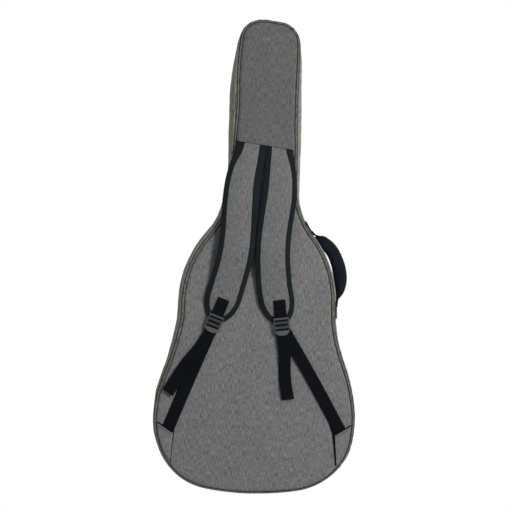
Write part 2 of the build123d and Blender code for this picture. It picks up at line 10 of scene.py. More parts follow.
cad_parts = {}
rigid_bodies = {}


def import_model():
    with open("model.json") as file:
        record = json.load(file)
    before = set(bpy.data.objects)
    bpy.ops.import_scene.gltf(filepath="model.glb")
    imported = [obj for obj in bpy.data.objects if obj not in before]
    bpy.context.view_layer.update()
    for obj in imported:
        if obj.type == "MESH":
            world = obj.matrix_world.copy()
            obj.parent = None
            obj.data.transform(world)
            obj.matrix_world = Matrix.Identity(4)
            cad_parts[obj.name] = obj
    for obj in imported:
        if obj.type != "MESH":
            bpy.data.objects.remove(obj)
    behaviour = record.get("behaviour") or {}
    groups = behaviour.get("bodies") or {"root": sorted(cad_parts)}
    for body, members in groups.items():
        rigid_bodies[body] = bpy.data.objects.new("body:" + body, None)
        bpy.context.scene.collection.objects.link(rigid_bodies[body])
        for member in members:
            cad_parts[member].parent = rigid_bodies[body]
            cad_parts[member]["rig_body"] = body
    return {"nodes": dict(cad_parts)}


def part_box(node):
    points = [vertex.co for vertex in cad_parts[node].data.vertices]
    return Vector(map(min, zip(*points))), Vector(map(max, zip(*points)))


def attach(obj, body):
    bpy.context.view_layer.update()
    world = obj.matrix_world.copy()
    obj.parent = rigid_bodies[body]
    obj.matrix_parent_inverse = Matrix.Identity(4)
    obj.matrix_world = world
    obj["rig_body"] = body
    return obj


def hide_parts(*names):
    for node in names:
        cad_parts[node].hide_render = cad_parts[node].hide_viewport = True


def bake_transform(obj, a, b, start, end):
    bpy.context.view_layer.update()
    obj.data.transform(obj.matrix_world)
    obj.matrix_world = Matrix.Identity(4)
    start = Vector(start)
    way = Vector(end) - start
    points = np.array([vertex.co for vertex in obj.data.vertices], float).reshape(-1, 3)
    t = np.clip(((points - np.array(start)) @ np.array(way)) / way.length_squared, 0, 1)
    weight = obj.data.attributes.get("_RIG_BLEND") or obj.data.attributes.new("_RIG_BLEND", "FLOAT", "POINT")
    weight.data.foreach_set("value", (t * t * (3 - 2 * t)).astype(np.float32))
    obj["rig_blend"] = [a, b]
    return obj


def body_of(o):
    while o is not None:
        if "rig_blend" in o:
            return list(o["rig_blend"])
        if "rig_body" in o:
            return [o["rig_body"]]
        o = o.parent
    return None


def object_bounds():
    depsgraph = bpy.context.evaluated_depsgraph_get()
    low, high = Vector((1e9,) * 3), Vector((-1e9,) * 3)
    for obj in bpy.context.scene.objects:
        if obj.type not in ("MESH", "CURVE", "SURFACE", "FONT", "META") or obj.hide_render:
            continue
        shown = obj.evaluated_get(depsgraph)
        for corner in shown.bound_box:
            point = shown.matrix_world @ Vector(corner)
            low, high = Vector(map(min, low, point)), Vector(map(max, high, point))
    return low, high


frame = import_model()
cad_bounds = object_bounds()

# A padded gig bag, lying on its front. Metres throughout: X across the bag, +Y to its head, +Z up.

# ---- levels and places read from the frame ----
FRONT_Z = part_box("front_panel")[0].z
FLOOR_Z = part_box("front_panel")[1].z            # the lining's level inside, over the front panel
CEILING_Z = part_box("back_padding")[0].z         # and under the back panel
BACK_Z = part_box("back_panel")[1].z
FRONT_EDGE_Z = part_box("front_gusset")[1].z      # free edges of the gussets, beside the zip
BACK_EDGE_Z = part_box("back_gusset")[0].z
ZIP_Z = (FRONT_EDGE_Z + BACK_EDGE_Z) / 2
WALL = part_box("front_panel")[0].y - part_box("front_gusset")[0].y
BOTTOM_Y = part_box("back_gusset")[0].y
HINGE_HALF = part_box("back_hinge_leaf")[1].x

# ---- places on the bag ----
SEAM_Y = 0.257                 # where the neck panel's hem covers the strap tops, on the centreline
SEAM_SLOPE = math.radians(6.5)
TO_HEAD = np.array([math.sin(SEAM_SLOPE), math.cos(SEAM_SLOPE)])     # square to that seam
UP = np.array([0.0, 0.0, 1.0])
STRAP_UNDER = BACK_Z + 0.0022
STRAP_RISE = 0.014             # how far the straps stand off the back
STRAP_BEND = 0.110             # length over which they come up
WEBBING_HALF = 0.014
BUCKLES = {"left": ((-0.0975, -0.140), -20.0), "right": ((0.050, -0.140), 8.5)}     # top bar, heading
SHOULDER = np.array([-0.0684, -0.105])          # centre of the shoulder's arc, for the handle
HANDLE_Z = (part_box("handle_grip")[0].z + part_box("handle_grip")[1].z) / 2


# ======== small geometry helpers ========
def smooth(t):
    """0 to 1 with level ends."""
    t = np.clip(t, 0, 1)
    return t * t * (3 - 2 * t)


def lengths(path, closed=False):
    """Distance along a polyline at each point, with the full length last if it is closed."""
    path = np.vstack([path, path[:1]]) if closed else path
    return np.concatenate([[0], np.cumsum(np.linalg.norm(np.diff(path, axis=0), axis=1))])


def sampled(at, along, rows):
    """Rows read off at distances along a line."""
    return np.stack([np.interp(at, along, column) for column in rows.T], 1)


def resample(points, count=None, spacing=None, closed=False):
    """Points spaced evenly along a polyline."""
    points = np.asarray(points, float)
    along = lengths(points, closed)
    points = np.vstack([points, points[:1]]) if closed else points
    count = count or max(int(round(along[-1] / spacing)), 3)
    return sampled(np.linspace(0, along[-1], count, endpoint=not closed), along, points)


def blur(values, times):
    """Evens out a closed row of points or numbers."""
    for _ in range(times):
        values = (np.roll(values, 1, 0) + 2 * values + np.roll(values, -1, 0)) / 4
    return values


def eased(rows):
    """Evens out an open row of points or numbers, whose ends stay."""
    for _ in range(3):
        rows[1:-1] = (rows[:-2] + 2 * rows[1:-1] + rows[2:]) / 4
    return rows


def unit(vectors):
    """Each vector, with its length made one."""
    return vectors / np.linalg.norm(vectors, axis=-1, keepdims=True)


def directions(path, closed=False):
    """Unit tangents of a polyline."""
    return unit(np.roll(path, -1, 0) - np.roll(path, 1, 0) if closed else np.gradient(path, axis=0))


def left_of(run):
    """Directions turned a quarter to the left, as seen from above."""
    return np.stack([-run[..., 1], run[..., 0]], -1)


def wander(along, size, period, seed):
    """A soft random wave along a length."""
    draw = np.random.default_rng(seed)
    total = np.zeros_like(along)
    for share in (1, 0.55, 0.3):
        total += share * np.sin(2 * math.pi * (along / (period * share) + draw.random()))
    return size * total / 1.85


def swell(x, y, size, period, seed):
    """Soft random unevenness over a surface."""
    draw = np.random.default_rng(seed)
    total = np.zeros_like(x)
    for _ in range(7):
        turn = draw.random() * 2 * math.pi
        pace = 2 * math.pi / (period * (0.55 + 0.9 * draw.random()))
        total += np.sin(pace * (x * math.cos(turn) + y * math.sin(turn)) + 7 * draw.random())
    return size * total / 7 ** 0.5


def at_height(plan, z):
    """Points of a plan at a height, or each at its own."""
    return np.column_stack([plan, np.broadcast_to(z, len(plan))])


def dome(gap, reach, power=2):
    """0 at an edge and 1 from reach inwards, rounded over like padding."""
    return 1 - (1 - np.clip(gap / reach, 0, 1)) ** power


SOFT_DOME = 2.2                # power for a foam pad, which is fuller than the usual 2


def circle(count):
    """Angles spaced evenly round a circle."""
    return np.linspace(0, 2 * math.pi, count, endpoint=False)


def turned(angle):
    """Unit vector down the bag, turned by an angle in degrees."""
    return np.array([math.sin(math.radians(angle)), -math.cos(math.radians(angle))])


def anticlockwise(loop):
    """The loop, run counter-clockwise as seen from above."""
    x, y = loop.T
    area = np.sum(x * np.roll(y, -1) - y * np.roll(x, -1))
    return loop if area > 0 else loop[::-1]


def upper_loop(node):
    """The outline of a flat node's upper face, counter-clockwise from above."""
    mesh = frame["nodes"][node].data
    co = np.array([v.co for v in mesh.vertices])
    top = co[:, 2].max()
    count = {}
    for face in mesh.polygons:
        if min(co[v, 2] for v in face.vertices) < top - 1e-6:
            continue
        for a, b in face.edge_keys:
            ends = sorted(tuple(np.round(co[v, :2], 6)) for v in (a, b))
            count[tuple(ends)] = count.get(tuple(ends), 0) + 1
    beside = {}
    for (a, b), uses in count.items():
        if uses == 1:
            beside.setdefault(a, []).append(b)
            beside.setdefault(b, []).append(a)
    loop, before = [min(beside)], None
    while len(loop) <= len(beside):
        ahead = [p for p in beside[loop[-1]] if p != before]
        before = loop[-1]
        if ahead[0] == loop[0]:
            break
        loop.append(ahead[0])
    return anticlockwise(np.array(loop))


def outward(loop):
    """Unit vectors square to a counter-clockwise loop, pointing out of it."""
    return -left_of(directions(loop, closed=True))


def by_side(loop, right, left):
    """A value for each point of a loop, from tables for the bag's two sides.

    The tables are pairs of millimetres along the bag and tenths of a millimetre.
    """
    right, left = (np.interp(loop[:, 1], *(np.array(t).T / [[1e3], [1e4]])) for t in (right, left))
    return np.where(loop[:, 0] > 0, right, left)


# the bag's outline, from the padding's edge out to the gusset's face, starting under the end button
OUTLINE_POINTS = 900
edge = blur(resample(upper_loop("back_padding"), count=OUTLINE_POINTS, closed=True), 6)
edge = resample(edge, count=OUTLINE_POINTS, closed=True)
edge = np.roll(edge, -int(np.argmin(np.hypot(edge[:, 0], edge[:, 1] - BOTTOM_Y))), axis=0)
OUTWARD = unit(blur(outward(edge), 4))

# The soft walls don't stand quite where the pattern puts them: how far they have sunk in, by side.
SUNK_RIGHT = [
    (-550, 10), (-533, 4), (-475, -15), (-440, -18), (-400, 0), (-360, -16), (-330, -8), (-240, 0),
    (-203, 18), (-166, 36), (-130, 40), (-80, 46), (45, 52), (89, 36), (125, 22), (160, 4), (250, 6),
    (330, 18), (360, 36), (400, 34), (430, 20), (460, 4), (500, -8), (520, 15), (535, 24), (543, 14),
    (545.5, 2), (550, -2),
]
SUNK_LEFT = [
    (-550, 10), (-533, -4), (-510, -20), (-470, -6), (-438, 9), (-330, 0), (-310, 18), (-273, 30),
    (-250, 22), (-225, 0), (-195, -20), (-150, -8), (-107, -18), (-50, 0), (22, 16), (40, 18), (90, 0),
    (134, -30), (153, -40), (171, -26), (190, 16), (208, 36), (226, 30), (260, 18), (300, 12), (360, 0),
    (420, -8), (450, 0), (487, 18), (520, -6), (545, -4), (550, -2),
]
RIM = edge + OUTWARD * (WALL - blur(by_side(edge, SUNK_RIGHT, SUNK_LEFT), 12)[:, None])
RIM_LENGTH = lengths(RIM, closed=True)


def rim(inset):
    """The bag's outline moved inwards; inset is one number, or one for each point."""
    return RIM - OUTWARD * np.reshape(inset, (-1, 1))


# The piping lies right at the edge round the bottom, and further in where the soft gusset rolls out
# past it: how far in its outer side is, up each side of the bag.
SEAM_RIGHT = [
    (-520, 3), (-460, 12), (-430, 26), (-380, 34), (-288, 38), (-243, 44), (-197, 50), (-151, 60),
    (-105, 66), (-30, 62), (50, 54), (100, 56), (160, 88), (262, 100), (308, 122), (354, 110),
    (400, 90), (446, 80), (492, 40), (530, 20),
]
SEAM_LEFT = [
    (-500, 3), (-450, 8), (-380, 11), (-334, 14), (-288, 26), (-243, 34), (-197, 60), (-151, 74),
    (-105, 68), (-59, 72), (-13.5, 62), (32, 74), (200, 76), (262, 70), (308, 104), (354, 130),
    (400, 105), (446, 68), (492, 22), (530, 14),
]
SEAM_INSET = blur(by_side(RIM, SEAM_RIGHT, SEAM_LEFT), 40)
CORD = [(-500, 18), (-400, 23), (-300, 27), (200, 27), (300, 23), (400, 23), (500, 20)]
PIPING_RADIUS = blur(by_side(RIM, CORD, CORD), 40)          # alike on both sides
PIPING_INSET = SEAM_INSET + PIPING_RADIUS                   # its middle
PANEL_INSET = SEAM_INSET + 2 * PIPING_RADIUS + 0.0011       # the edge of the panel inside it
GROOVE = 0.0014                # open width of the seam on each side of the piping


def inside(points, loop):
    """Whether each point lies inside the loop."""
    x, y = points[:, :1], points[:, 1:]
    x0, y0 = loop[:, 0], loop[:, 1]
    x1, y1 = np.roll(x0, -1), np.roll(y0, -1)
    rise = np.where(np.abs(y1 - y0) < 1e-12, 1e-12, y1 - y0)
    cross = ((y0 > y) != (y1 > y)) & (x < (x1 - x0) * (y - y0) / rise + x0)
    return cross.sum(1) % 2 == 1


def clip(loop, point, normal):
    """The part of a closed loop on the side of a line that normal points to."""
    side = (loop - np.asarray(point)) @ np.asarray(normal)
    kept = []
    for k in range(len(loop)):
        a, b = loop[k], loop[(k + 1) % len(loop)]
        sa, sb = side[k], side[(k + 1) % len(loop)]
        if sa >= 0:
            kept.append(a)
        if (sa >= 0) != (sb >= 0):
            kept.append(a + (b - a) * sa / (sa - sb))
    return np.array(kept)


def nearest(points, loop):
    """How far each point is from a closed loop, and how far along the loop its nearest place is."""
    a, b = loop, np.roll(loop, -1, 0)
    ab = b - a
    square = np.maximum((ab * ab).sum(1), 1e-12)
    along = lengths(loop, closed=True)
    gap, at = np.zeros(len(points)), np.zeros(len(points))
    for start in range(0, len(points), 1500):
        some = slice(start, start + 1500)
        p = points[some, None, :]
        t = np.clip(((p - a) * ab).sum(2) / square, 0, 1)
        d = np.linalg.norm(p - a - t[..., None] * ab, axis=2)
        k = d.argmin(1)
        row = np.arange(len(k))
        gap[some] = d[row, k]
        at[some] = along[k] + t[row, k] * (along[k + 1] - along[k])
    return gap, at


def spline(points, first, last, count):
    """A smooth curve through the points, with the given directions at its ends."""
    points = np.asarray(points, float)
    n = len(points)
    t = lengths(points)
    h = np.diff(t)
    system, right = np.zeros((n, n)), np.zeros_like(points)
    system[0, 0] = system[-1, -1] = 1
    right[0], right[-1] = first, last
    slope = np.diff(points, axis=0) / h[:, None]
    for k in range(1, n - 1):
        system[k, k - 1:k + 2] = h[k], 2 * (h[k - 1] + h[k]), h[k - 1]
        right[k] = 3 * (h[k] * slope[k - 1] + h[k - 1] * slope[k])
    speed = np.linalg.solve(system, right)
    at = np.linspace(0, t[-1], count)
    k = np.clip(np.searchsorted(t, at) - 1, 0, n - 2)
    s, hk = ((at - t[k]) / h[k])[:, None], h[k][:, None]
    return (
        (1 + 2 * s) * (1 - s) ** 2 * points[k]
        + s * (1 - s) ** 2 * hk * speed[k]
        + s * s * (3 - 2 * s) * points[k + 1]
        + s * s * (s - 1) * hk * speed[k + 1]
    )


# ======== materials ========
MAP = "metres"                 # name of the meshes' map
SOFT_SPECULAR = 0.07           # fabric hardly shines


class Tree:
    """Short ways to add nodes to a node tree."""

    def __init__(self, owner):
        owner.use_nodes = True
        self.nodes, self.links = owner.node_tree.nodes, owner.node_tree.links

    def set(self, socket, value):
        """Puts a value on an input, or links another node's output to it."""
        if isinstance(value, bpy.types.NodeSocket):
            self.links.new(value, socket)
        else:
            socket.default_value = value

    def node(self, kind, inputs, output=0, **settings):
        """A new node's output. inputs are values or other outputs, by an input's name or number."""
        node = self.nodes.new("ShaderNode" + kind)
        for key, value in settings.items():
            setattr(node, key, value)
        for key, value in inputs.items():
            self.set(node.inputs[key], value)
        return node.outputs[output]

    def math(self, operation, *values, **settings):
        """One step of sums on values or outputs."""
        return self.node("Math", dict(enumerate(values)), operation=operation, **settings)

    def seen_directly(self):
        """1 for rays from the camera, and for those that mirrors and clear things pass on."""
        rays = self.nodes.new("ShaderNodeLightPath").outputs
        total = self.math("ADD", rays["Is Camera Ray"], rays["Is Glossy Ray"], use_clamp=True)
        return self.math("ADD", total, rays["Is Transmission Ray"], use_clamp=True)


class Shader(Tree):
    """A material whose patterns are placed in metres: by the mesh's own map, or by where it lies."""

    def __init__(self, name, roughness=0.8, by_place=False):
        self.material = bpy.data.materials.new(name)
        super().__init__(self.material)
        self.principled = self.nodes["Principled BSDF"].inputs
        self.principled["Roughness"].default_value = roughness
        if by_place:
            self.place = self.node("TexCoord", {}, "Object")
        else:
            self.place = self.node("UVMap", {}, "UV", uv_map=MAP)

    def scaled(self, x, y, z):
        """The place, with that many repeats to the metre each way."""
        return self.node("VectorMath", {0: self.place, 1: (x, y, z)}, operation="MULTIPLY")

    def noise(self, x, y, z=0, detail=2.0):
        """Soft noise with about that many grains to the metre each way."""
        inputs = {"Vector": self.scaled(x, y, z), "Scale": 1.0, "Detail": detail}
        return self.node("TexNoise", inputs, "Fac")

    def ribs(self, x, y, z=0):
        """Parallel ribs, from 0 to 1."""
        split = self.nodes.new("ShaderNodeSeparateXYZ")
        self.set(split.inputs[0], self.scaled(x, y, z))
        total = self.math("ADD", self.math("ADD", split.outputs[0], split.outputs[1]), split.outputs[2])
        wave = self.math("SINE", self.math("MULTIPLY", total, 2 * math.pi))
        return self.math("MULTIPLY_ADD", wave, 0.5, 0.5)

    def stretch(self, value, low, high, first=0.0, last=1.0):
        """low to high becomes first to last."""
        ends = {"From Min": low, "From Max": high, "To Min": first, "To Max": last}
        return self.node("MapRange", {"Value": value, **ends}, "Result")

    def weighted(self, *terms):
        """The sum of pairs of value and weight."""
        total = self.math("MULTIPLY", *terms[-1])
        for value, weight in terms[-2::-1]:
            total = self.math("MULTIPLY_ADD", value, weight, total)
        return total

    def shades(self, value, low, high, *colours):
        """Dark to light, as seen in 0 to 255, where the value goes from low to high."""
        factor = self.stretch(value, low, high)
        node = self.nodes.new("ShaderNodeMix")
        node.data_type = "RGBA"
        self.set(node.inputs["Factor"], factor)
        for socket, colour in zip([s for s in node.inputs if s.type == "RGBA"], colours):
            seen = np.array(colour) / 255
            linear = np.where(seen < 0.0406, seen / 12.92, ((seen + 0.055) / 1.055) ** 2.4)
            socket.default_value = (*linear, 1.0)
        return [s for s in node.outputs if s.type == "RGBA"][0]

    def finish(self, colour, height, depth, sheen=0.0):
        """Sets the colour, the height of its relief in metres and its sheen; returns the material."""
        self.set(self.principled["Base Color"], colour)
        self.set(self.principled["Normal"], self.node("Bump", {"Distance": depth, "Height": height}))
        self.principled["Sheen Weight"].default_value = sheen
        if sheen:
            self.principled["Specular IOR Level"].default_value = SOFT_SPECULAR
        return self.material


def heather(name, dark, light, contrast=1.0):
    """Melange canvas: dark and light yarns that run along the cloth, in a fine plain weave."""
    s = Shader(name, roughness=0.93)
    yarn = s.noise(900, 85, detail=2)
    slub = s.noise(640, 45, detail=1)
    pick = s.noise(70, 900, detail=1)
    speck = s.noise(1300, 900, detail=1)
    cloud = s.noise(14, 6, detail=3)
    blend = s.weighted((pick, 0.18), (yarn, 0.40), (slub, 0.14), (speck, 0.28))
    half = 0.135 / contrast
    colour = s.shades(blend, 0.5 - half, 0.5 + half, dark, light)
    cloudy = s.stretch(cloud, 0.3, 0.7, 0.95, 1.05)
    colour = s.node("VectorMath", {0: colour, "Scale": cloudy}, operation="SCALE")
    weave = s.math("MULTIPLY_ADD", yarn, 0.9, s.math("MULTIPLY", s.ribs(800, 0), s.ribs(0, 800)))
    return s.finish(colour, weave, depth=0.0003, sheen=0.06)


def ribbed(name, dark, light, across, along, roughness=0.75, depth=0.0003, sheen=0.05):
    """Woven tape, webbing or mesh: ribs both ways, a little worn in patches."""
    s = Shader(name, roughness=roughness)
    if across and along:
        ribs = s.math("MULTIPLY", s.ribs(across, 0), s.ribs(0, along))
    else:
        ribs = s.ribs(across, along)
    fuzz = s.noise(600, 300, detail=3)
    patch = s.noise(30, 12, detail=2)
    shade = s.weighted((ribs, 0.45), (fuzz, 0.35), (patch, 0.45))
    return s.finish(s.shades(shade, 0.3, 0.95, dark, light), ribs, depth=depth, sheen=sheen)


def moulded(name, dark, light, roughness, metallic=0.0):
    """Plastic or painted metal, with a fine grain and a little wear."""
    s = Shader(name, roughness=roughness, by_place=True)
    fine, patch = s.noise(900, 900, 900, detail=2), s.noise(70, 70, 70, detail=4)
    s.set(s.principled["Roughness"], s.stretch(patch, 0.3, 0.7, roughness - 0.07, roughness + 0.1))
    s.principled["Metallic"].default_value = metallic
    blend = s.weighted((fine, 0.3), (patch, 0.7))
    return s.finish(s.shades(blend, 0.35, 0.65, dark, light), fine, depth=0.00005)


def napped(name, dark, light, roughness, fine, patches, share, depth, sheen):
    """Brushed lining or a pebbled skin: fine is (repeats, detail), patches the repeats both ways."""
    s = Shader(name, roughness=roughness)
    pile = s.noise(fine[0], fine[0], detail=fine[1])
    blend = s.weighted((pile, share), (s.noise(*patches, detail=3), 1 - share))
    return s.finish(s.shades(blend, 0.35, 0.65, dark, light), pile, depth=depth, sheen=sheen)


BODY = heather("heather_canvas", (60, 60, 62), (141, 140, 139), 1.15)
NECK = heather("heather_canvas_neck", (53, 54, 54), (117, 118, 116), 1.0)
GUSSET = heather("heather_canvas_gusset", (71, 72, 66), (153, 153, 142))
STRAP = heather("heather_canvas_strap", (57, 58, 58), (131, 132, 130), 1.05)
PIPING = heather("heather_piping", (54, 54, 53), (120, 118, 114))
BINDING = ribbed("grosgrain_binding", (6, 10, 12), (27, 34, 37), 0, 900, depth=0.00025)
WEBBING = ribbed("woven_webbing", (0, 1, 3), (7, 10, 16), 520, 480, depth=0.0004, sheen=0.01)
ANCHOR = heather("heather_canvas_anchor", (62, 62, 62), (142, 142, 141))
MESH = ribbed("air_mesh", (6, 7, 8), (38, 40, 42), 300, 300, roughness=0.9, depth=0.0006)
# black zip tape; the gussets and the back panel also take it down into the seams beside the piping, as
# painted shade for the seam lines
TAPE_AND_SEAM_SHADE = ribbed("zip_tape", (7, 8, 9), (30, 31, 33), 900, 700, depth=0.0002)
LINING = napped("brushed_lining", (30, 30, 33), (62, 62, 66), 1.0, (900, 4), (25, 18), 0.6, 0.0004, 0.35)
GRIP = napped("handle_cover", (3, 7, 13), (16, 24, 32), 0.72, (1300, 2), (40, 25), 0.4, 0.00015, 0.04)
THREAD_GREY = ribbed("grey_thread", (58, 58, 58), (120, 118, 114), 0, 2500)
THREAD_BLACK = ribbed("black_thread", (10, 11, 13), (48, 50, 54), 0, 2500)
PLASTIC = moulded("buckle_nylon", (19, 21, 23), (38, 41, 43), 0.5)
METAL = moulded("painted_metal", (16, 17, 19), (40, 41, 44), 0.32, metallic=0.6)
TEETH = moulded("zip_teeth", (12, 12, 14), (38, 38, 41), 0.38)


# ======== mesh makers ========
def shown(name, data):
    """A new object in the scene."""
    obj = bpy.data.objects.new(name, data)
    bpy.context.scene.collection.objects.link(obj)
    return obj


def make(name, verts, faces, uvs, materials, slots=None):
    """A mesh with one map place for each face corner, and one material number for each face."""
    mesh = bpy.data.meshes.new(name)
    mesh.from_pydata([tuple(v) for v in verts], [], [tuple(f) for f in faces])
    layer = mesh.uv_layers.new(name=MAP)
    layer.data.foreach_set("uv", np.asarray(uvs, np.float32).ravel())
    for material in materials:
        mesh.materials.append(material)
    if slots is not None:
        mesh.polygons.foreach_set("material_index", np.asarray(slots, np.int32))
    shell = bmesh.new()
    shell.from_mesh(mesh)
    bmesh.ops.recalc_face_normals(shell, faces=shell.faces)
    shell.to_mesh(mesh)
    shell.free()
    mesh.shade_smooth()
    return shown(name, mesh)


def grid(
    name, points, materials, rows, cols, closed_rows=False, closed_cols=False, slots=None, caps=False
):
    """A surface through rows of points; rows and cols are the map's distances along and across it."""
    n, m = points.shape[:2]
    i, j = np.meshgrid(
        np.arange(n if closed_rows else n - 1), np.arange(m if closed_cols else m - 1), indexing="ij"
    )
    i, j = i.ravel(), j.ravel()
    i2, j2 = (i + 1) % n, (j + 1) % m
    faces = np.stack([i * m + j, i * m + j2, i2 * m + j2, i2 * m + j], 1)
    rows, cols = np.asarray(rows, float), np.asarray(cols, float)
    corners = ((i, j), (i, j + 1), (i + 1, j + 1), (i + 1, j))
    uvs = np.stack([np.stack([cols[b], rows[a]], 1) for a, b in corners], 1).reshape(-1, 2)
    faces = faces.tolist()
    slots = None if slots is None else [slots[k] for k in j]
    if caps:
        ring = np.stack([cols[:m], np.zeros(m)], 1)
        faces += [list(range(m))[::-1], [(n - 1) * m + k for k in range(m)]]
        uvs = np.vstack([uvs, ring[::-1] + [0, rows[0]], ring + [0, rows[-1]]])
        slots = None if slots is None else slots + [slots[0], slots[0]]
    return make(name, points.reshape(-1, 3), faces, uvs, materials, slots)


def kept_run(keep):
    """The outline's points that a mask keeps, in order from the start of their run."""
    order = np.flatnonzero(keep)
    gap = int(np.argmax(np.diff(order, append=order[0] + len(RIM))))
    return np.roll(order, -(gap + 1))


def swept(name, points, material, along, section):
    """A closed tube through rows of points; the map's width is measured round the section."""
    around = lengths(section, closed=True)
    return grid(name, points, [material], along, around, closed_cols=True, caps=True)


def rim_band(name, profile, materials, slots=None, keep=None):
    """A closed section swept round the bag's outline. profile is pairs of (inset, height).

    keep is a mask of the outline's points, for a band that doesn't go all the way round.
    """
    points = np.stack([at_height(rim(inset), height) for inset, height in profile], 1)
    around = lengths(points.mean(0), closed=True)
    if keep is None:
        return grid(name, points, materials, RIM_LENGTH, around, True, True, slots)
    order = kept_run(keep)
    along = lengths(RIM[order])
    return grid(name, points[order], materials, along, around, False, True, slots, caps=True)


def ribbon(name, path, across, half, thickness, material, edge=0.0004, lanes=5):
    """Webbing or tape along a path; across is the direction of its width at each point."""
    across = unit(np.broadcast_to(across, path.shape))
    up = unit(np.cross(across, directions(path)))
    high = thickness / 2
    span = np.linspace(-half + edge, half - edge, lanes)
    profile = np.array([
        (-half, -high + edge), (-half, high - edge), *((u, high) for u in span),
        (half, high - edge), (half, -high + edge), *((u, -high) for u in span[::-1]),
    ])
    points = path[:, None] + across[:, None] * profile[:, :1] + up[:, None] * profile[:, 1:]
    return swept(name, points, material, lengths(path), profile)


def webbing(name, path, across):
    """The straps' own webbing along a path."""
    return ribbon(name, path, across, WEBBING_HALF, 0.0015, WEBBING, lanes=7)


def filled(loop, spacing, rings=()):
    """Points and triangles that fill a loop, with extra rows of points just inside its edge."""
    loop = resample(loop, spacing=spacing, closed=True)
    out = outward(loop)
    rows = [loop]
    for inset in rings:
        row = loop - out * inset
        rows.append(row[nearest(row, loop)[0] > 0.85 * inset])
    lo, hi = loop.min(0), loop.max(0)
    ys = np.arange(lo[1], hi[1], spacing * 0.866)
    xs = np.arange(lo[0], hi[0], spacing)
    hexes = np.array([(x + (k % 2) * spacing / 2, y) for k, y in enumerate(ys) for x in xs])
    hexes = hexes[inside(hexes, loop)]
    hexes = hexes[nearest(hexes, loop)[0] > max(rings, default=0) + 0.6 * spacing]
    verts = np.vstack(rows + [hexes])
    ring = [(k, (k + 1) % len(loop)) for k in range(len(loop))]
    result = delaunay_2d_cdt([Vector(v) for v in verts], ring, [], 1, 1e-8)
    coords = np.array([tuple(v) for v in result[0]])
    where = {o: k for k, origins in enumerate(result[3]) for o in origins}
    border = [where[k] for k in range(len(loop))]
    return coords, np.array(result[2]), np.array(border), *nearest(coords, loop)


def cushion(name, loop, spacing, low, high, materials, rings=(), side=1, uv=None, flip=None):
    """A closed pad over a loop. low and high are its faces' heights, or give them from (x, y, gap, at).

    gap is the distance in from the edge and at the distance along it. materials are for the upper
    face, the lower face and the edge. flip turns the finished points into another plane.
    """
    coords, tris, border, gap, at = filled(loop, spacing, rings)
    n = len(coords)
    verts = np.vstack([
        at_height(coords, face(*coords.T, gap, at) if callable(face) else face) for face in (high, low)
    ])
    around = lengths(coords[border], closed=True)
    levels = [border]
    for k in range(1, side):
        levels.append(np.arange(len(border)) + len(verts))
        verts = np.vstack([verts, verts[border] * (1 - k / side) + verts[border + n] * (k / side)])
    levels.append(border + n)
    uv = coords if uv is None else uv(coords)
    faces = tris.tolist() + (tris[:, ::-1] + n).tolist()
    uvs = [uv[tris].reshape(-1, 2), uv[tris[:, ::-1]].reshape(-1, 2)]
    slots = [0] * len(tris) + [1] * len(tris)
    following = np.roll(np.arange(len(border)), -1)
    first, last = around[:-1], around[1:]
    for above, below in zip(levels[:-1], levels[1:]):
        faces += np.stack([below, below[following], above[following], above], 1).tolist()
        step = abs(float(verts[above, 2].mean() - verts[below, 2].mean()))
        corners = ((0, first), (0, last), (step, last), (step, first))
        uvs.append(np.stack([at_height(v[:, None], u)[:, ::-1] for u, v in corners], 1).reshape(-1, 2))
        slots += [2 if len(materials) > 2 else 0] * len(border)
    if flip is not None:
        verts = flip(verts)
    if len(materials) == 1:
        slots = [0] * len(slots)
    return make(name, verts, faces, np.vstack(uvs), materials, slots)


def beads(name, points, material, step=0.0):
    """Many small closed solids as one mesh. points is solids by rings by the points of a ring.

    step is how far the map goes on from ring to ring.
    """
    count, rings, size = points.shape[:3]
    faces, uvs = [], []
    for first in range(0, count * rings * size, rings * size):
        last = first + (rings - 1) * size
        for k in range(first, last, size):
            turns = [(k + t, k + (t + 1) % size) for t in range(size)]
            faces += [(a, b, b + size, a + size) for a, b in turns]
            uvs += [(0, 0), (0, 0), (0, step), (0, step)] * size
        faces += [tuple(range(first, first + size))[::-1], tuple(range(last, last + size))]
        uvs += [(0, 0)] * 2 * size
    return make(name, points.reshape(-1, 3), faces, uvs, [material])


def stitches(name, paths, material, ups=None, pitch=0.0042, length=0.003, radius=0.00035):
    """Rows of thread along paths, as small rounded dashes.

    ups are the directions in which the cloth faces under each path, if that isn't up.
    """
    shares, sizes = np.array([(-0.5, 0.35), (-0.3, 1.0), (0.3, 1.0), (0.5, 0.35)]).T[:, :, None, None]
    turns = circle(5)[:, None]
    dashes = []
    for path, up in zip(paths, ups or [UP] * len(paths)):
        along = lengths(path)
        count = int(along[-1] / pitch)
        at = (np.arange(count) + 0.5) * along[-1] / max(count, 1)
        up = np.broadcast_to(up, path.shape)
        middle, run, up = (sampled(at, along, rows) for rows in (path, directions(path), up))
        beside = unit(np.cross(run, up))
        c, d, b, u = (rows[:, None, None] for rows in (middle, run, beside, np.cross(beside, run)))
        around = b * np.cos(turns) + u * np.sin(turns)
        dashes.append(c + d * shares * length + around * radius * sizes)
    return beads(name, np.vstack(dashes), material, 0.001)


CLOSE = {"pitch": 0.003, "length": 0.0022}                  # closer stitches, for the webbing


def put(obj, body, slot, *nodes, fill=None, onto=None):
    """Puts a piece on its body, in place of the CAD nodes that it stands for.

    onto is (another body, start, end), for a piece that bends from the one body to the other.
    """
    if onto is None:
        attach(obj, body)
    else:
        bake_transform(obj, body, *onto)
    if nodes:
        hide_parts(*nodes)


# ======== gussets, piping and zip ========
FRONT_SEAM_Z, BACK_SEAM_Z = 0.0130, 0.1268
TURNED_IN = np.maximum(SEAM_INSET - GROOVE, 0.0003)         # how far the walls roll in to the piping
ROLL = 0.026                   # height over which they do
BULGE = 0.0012


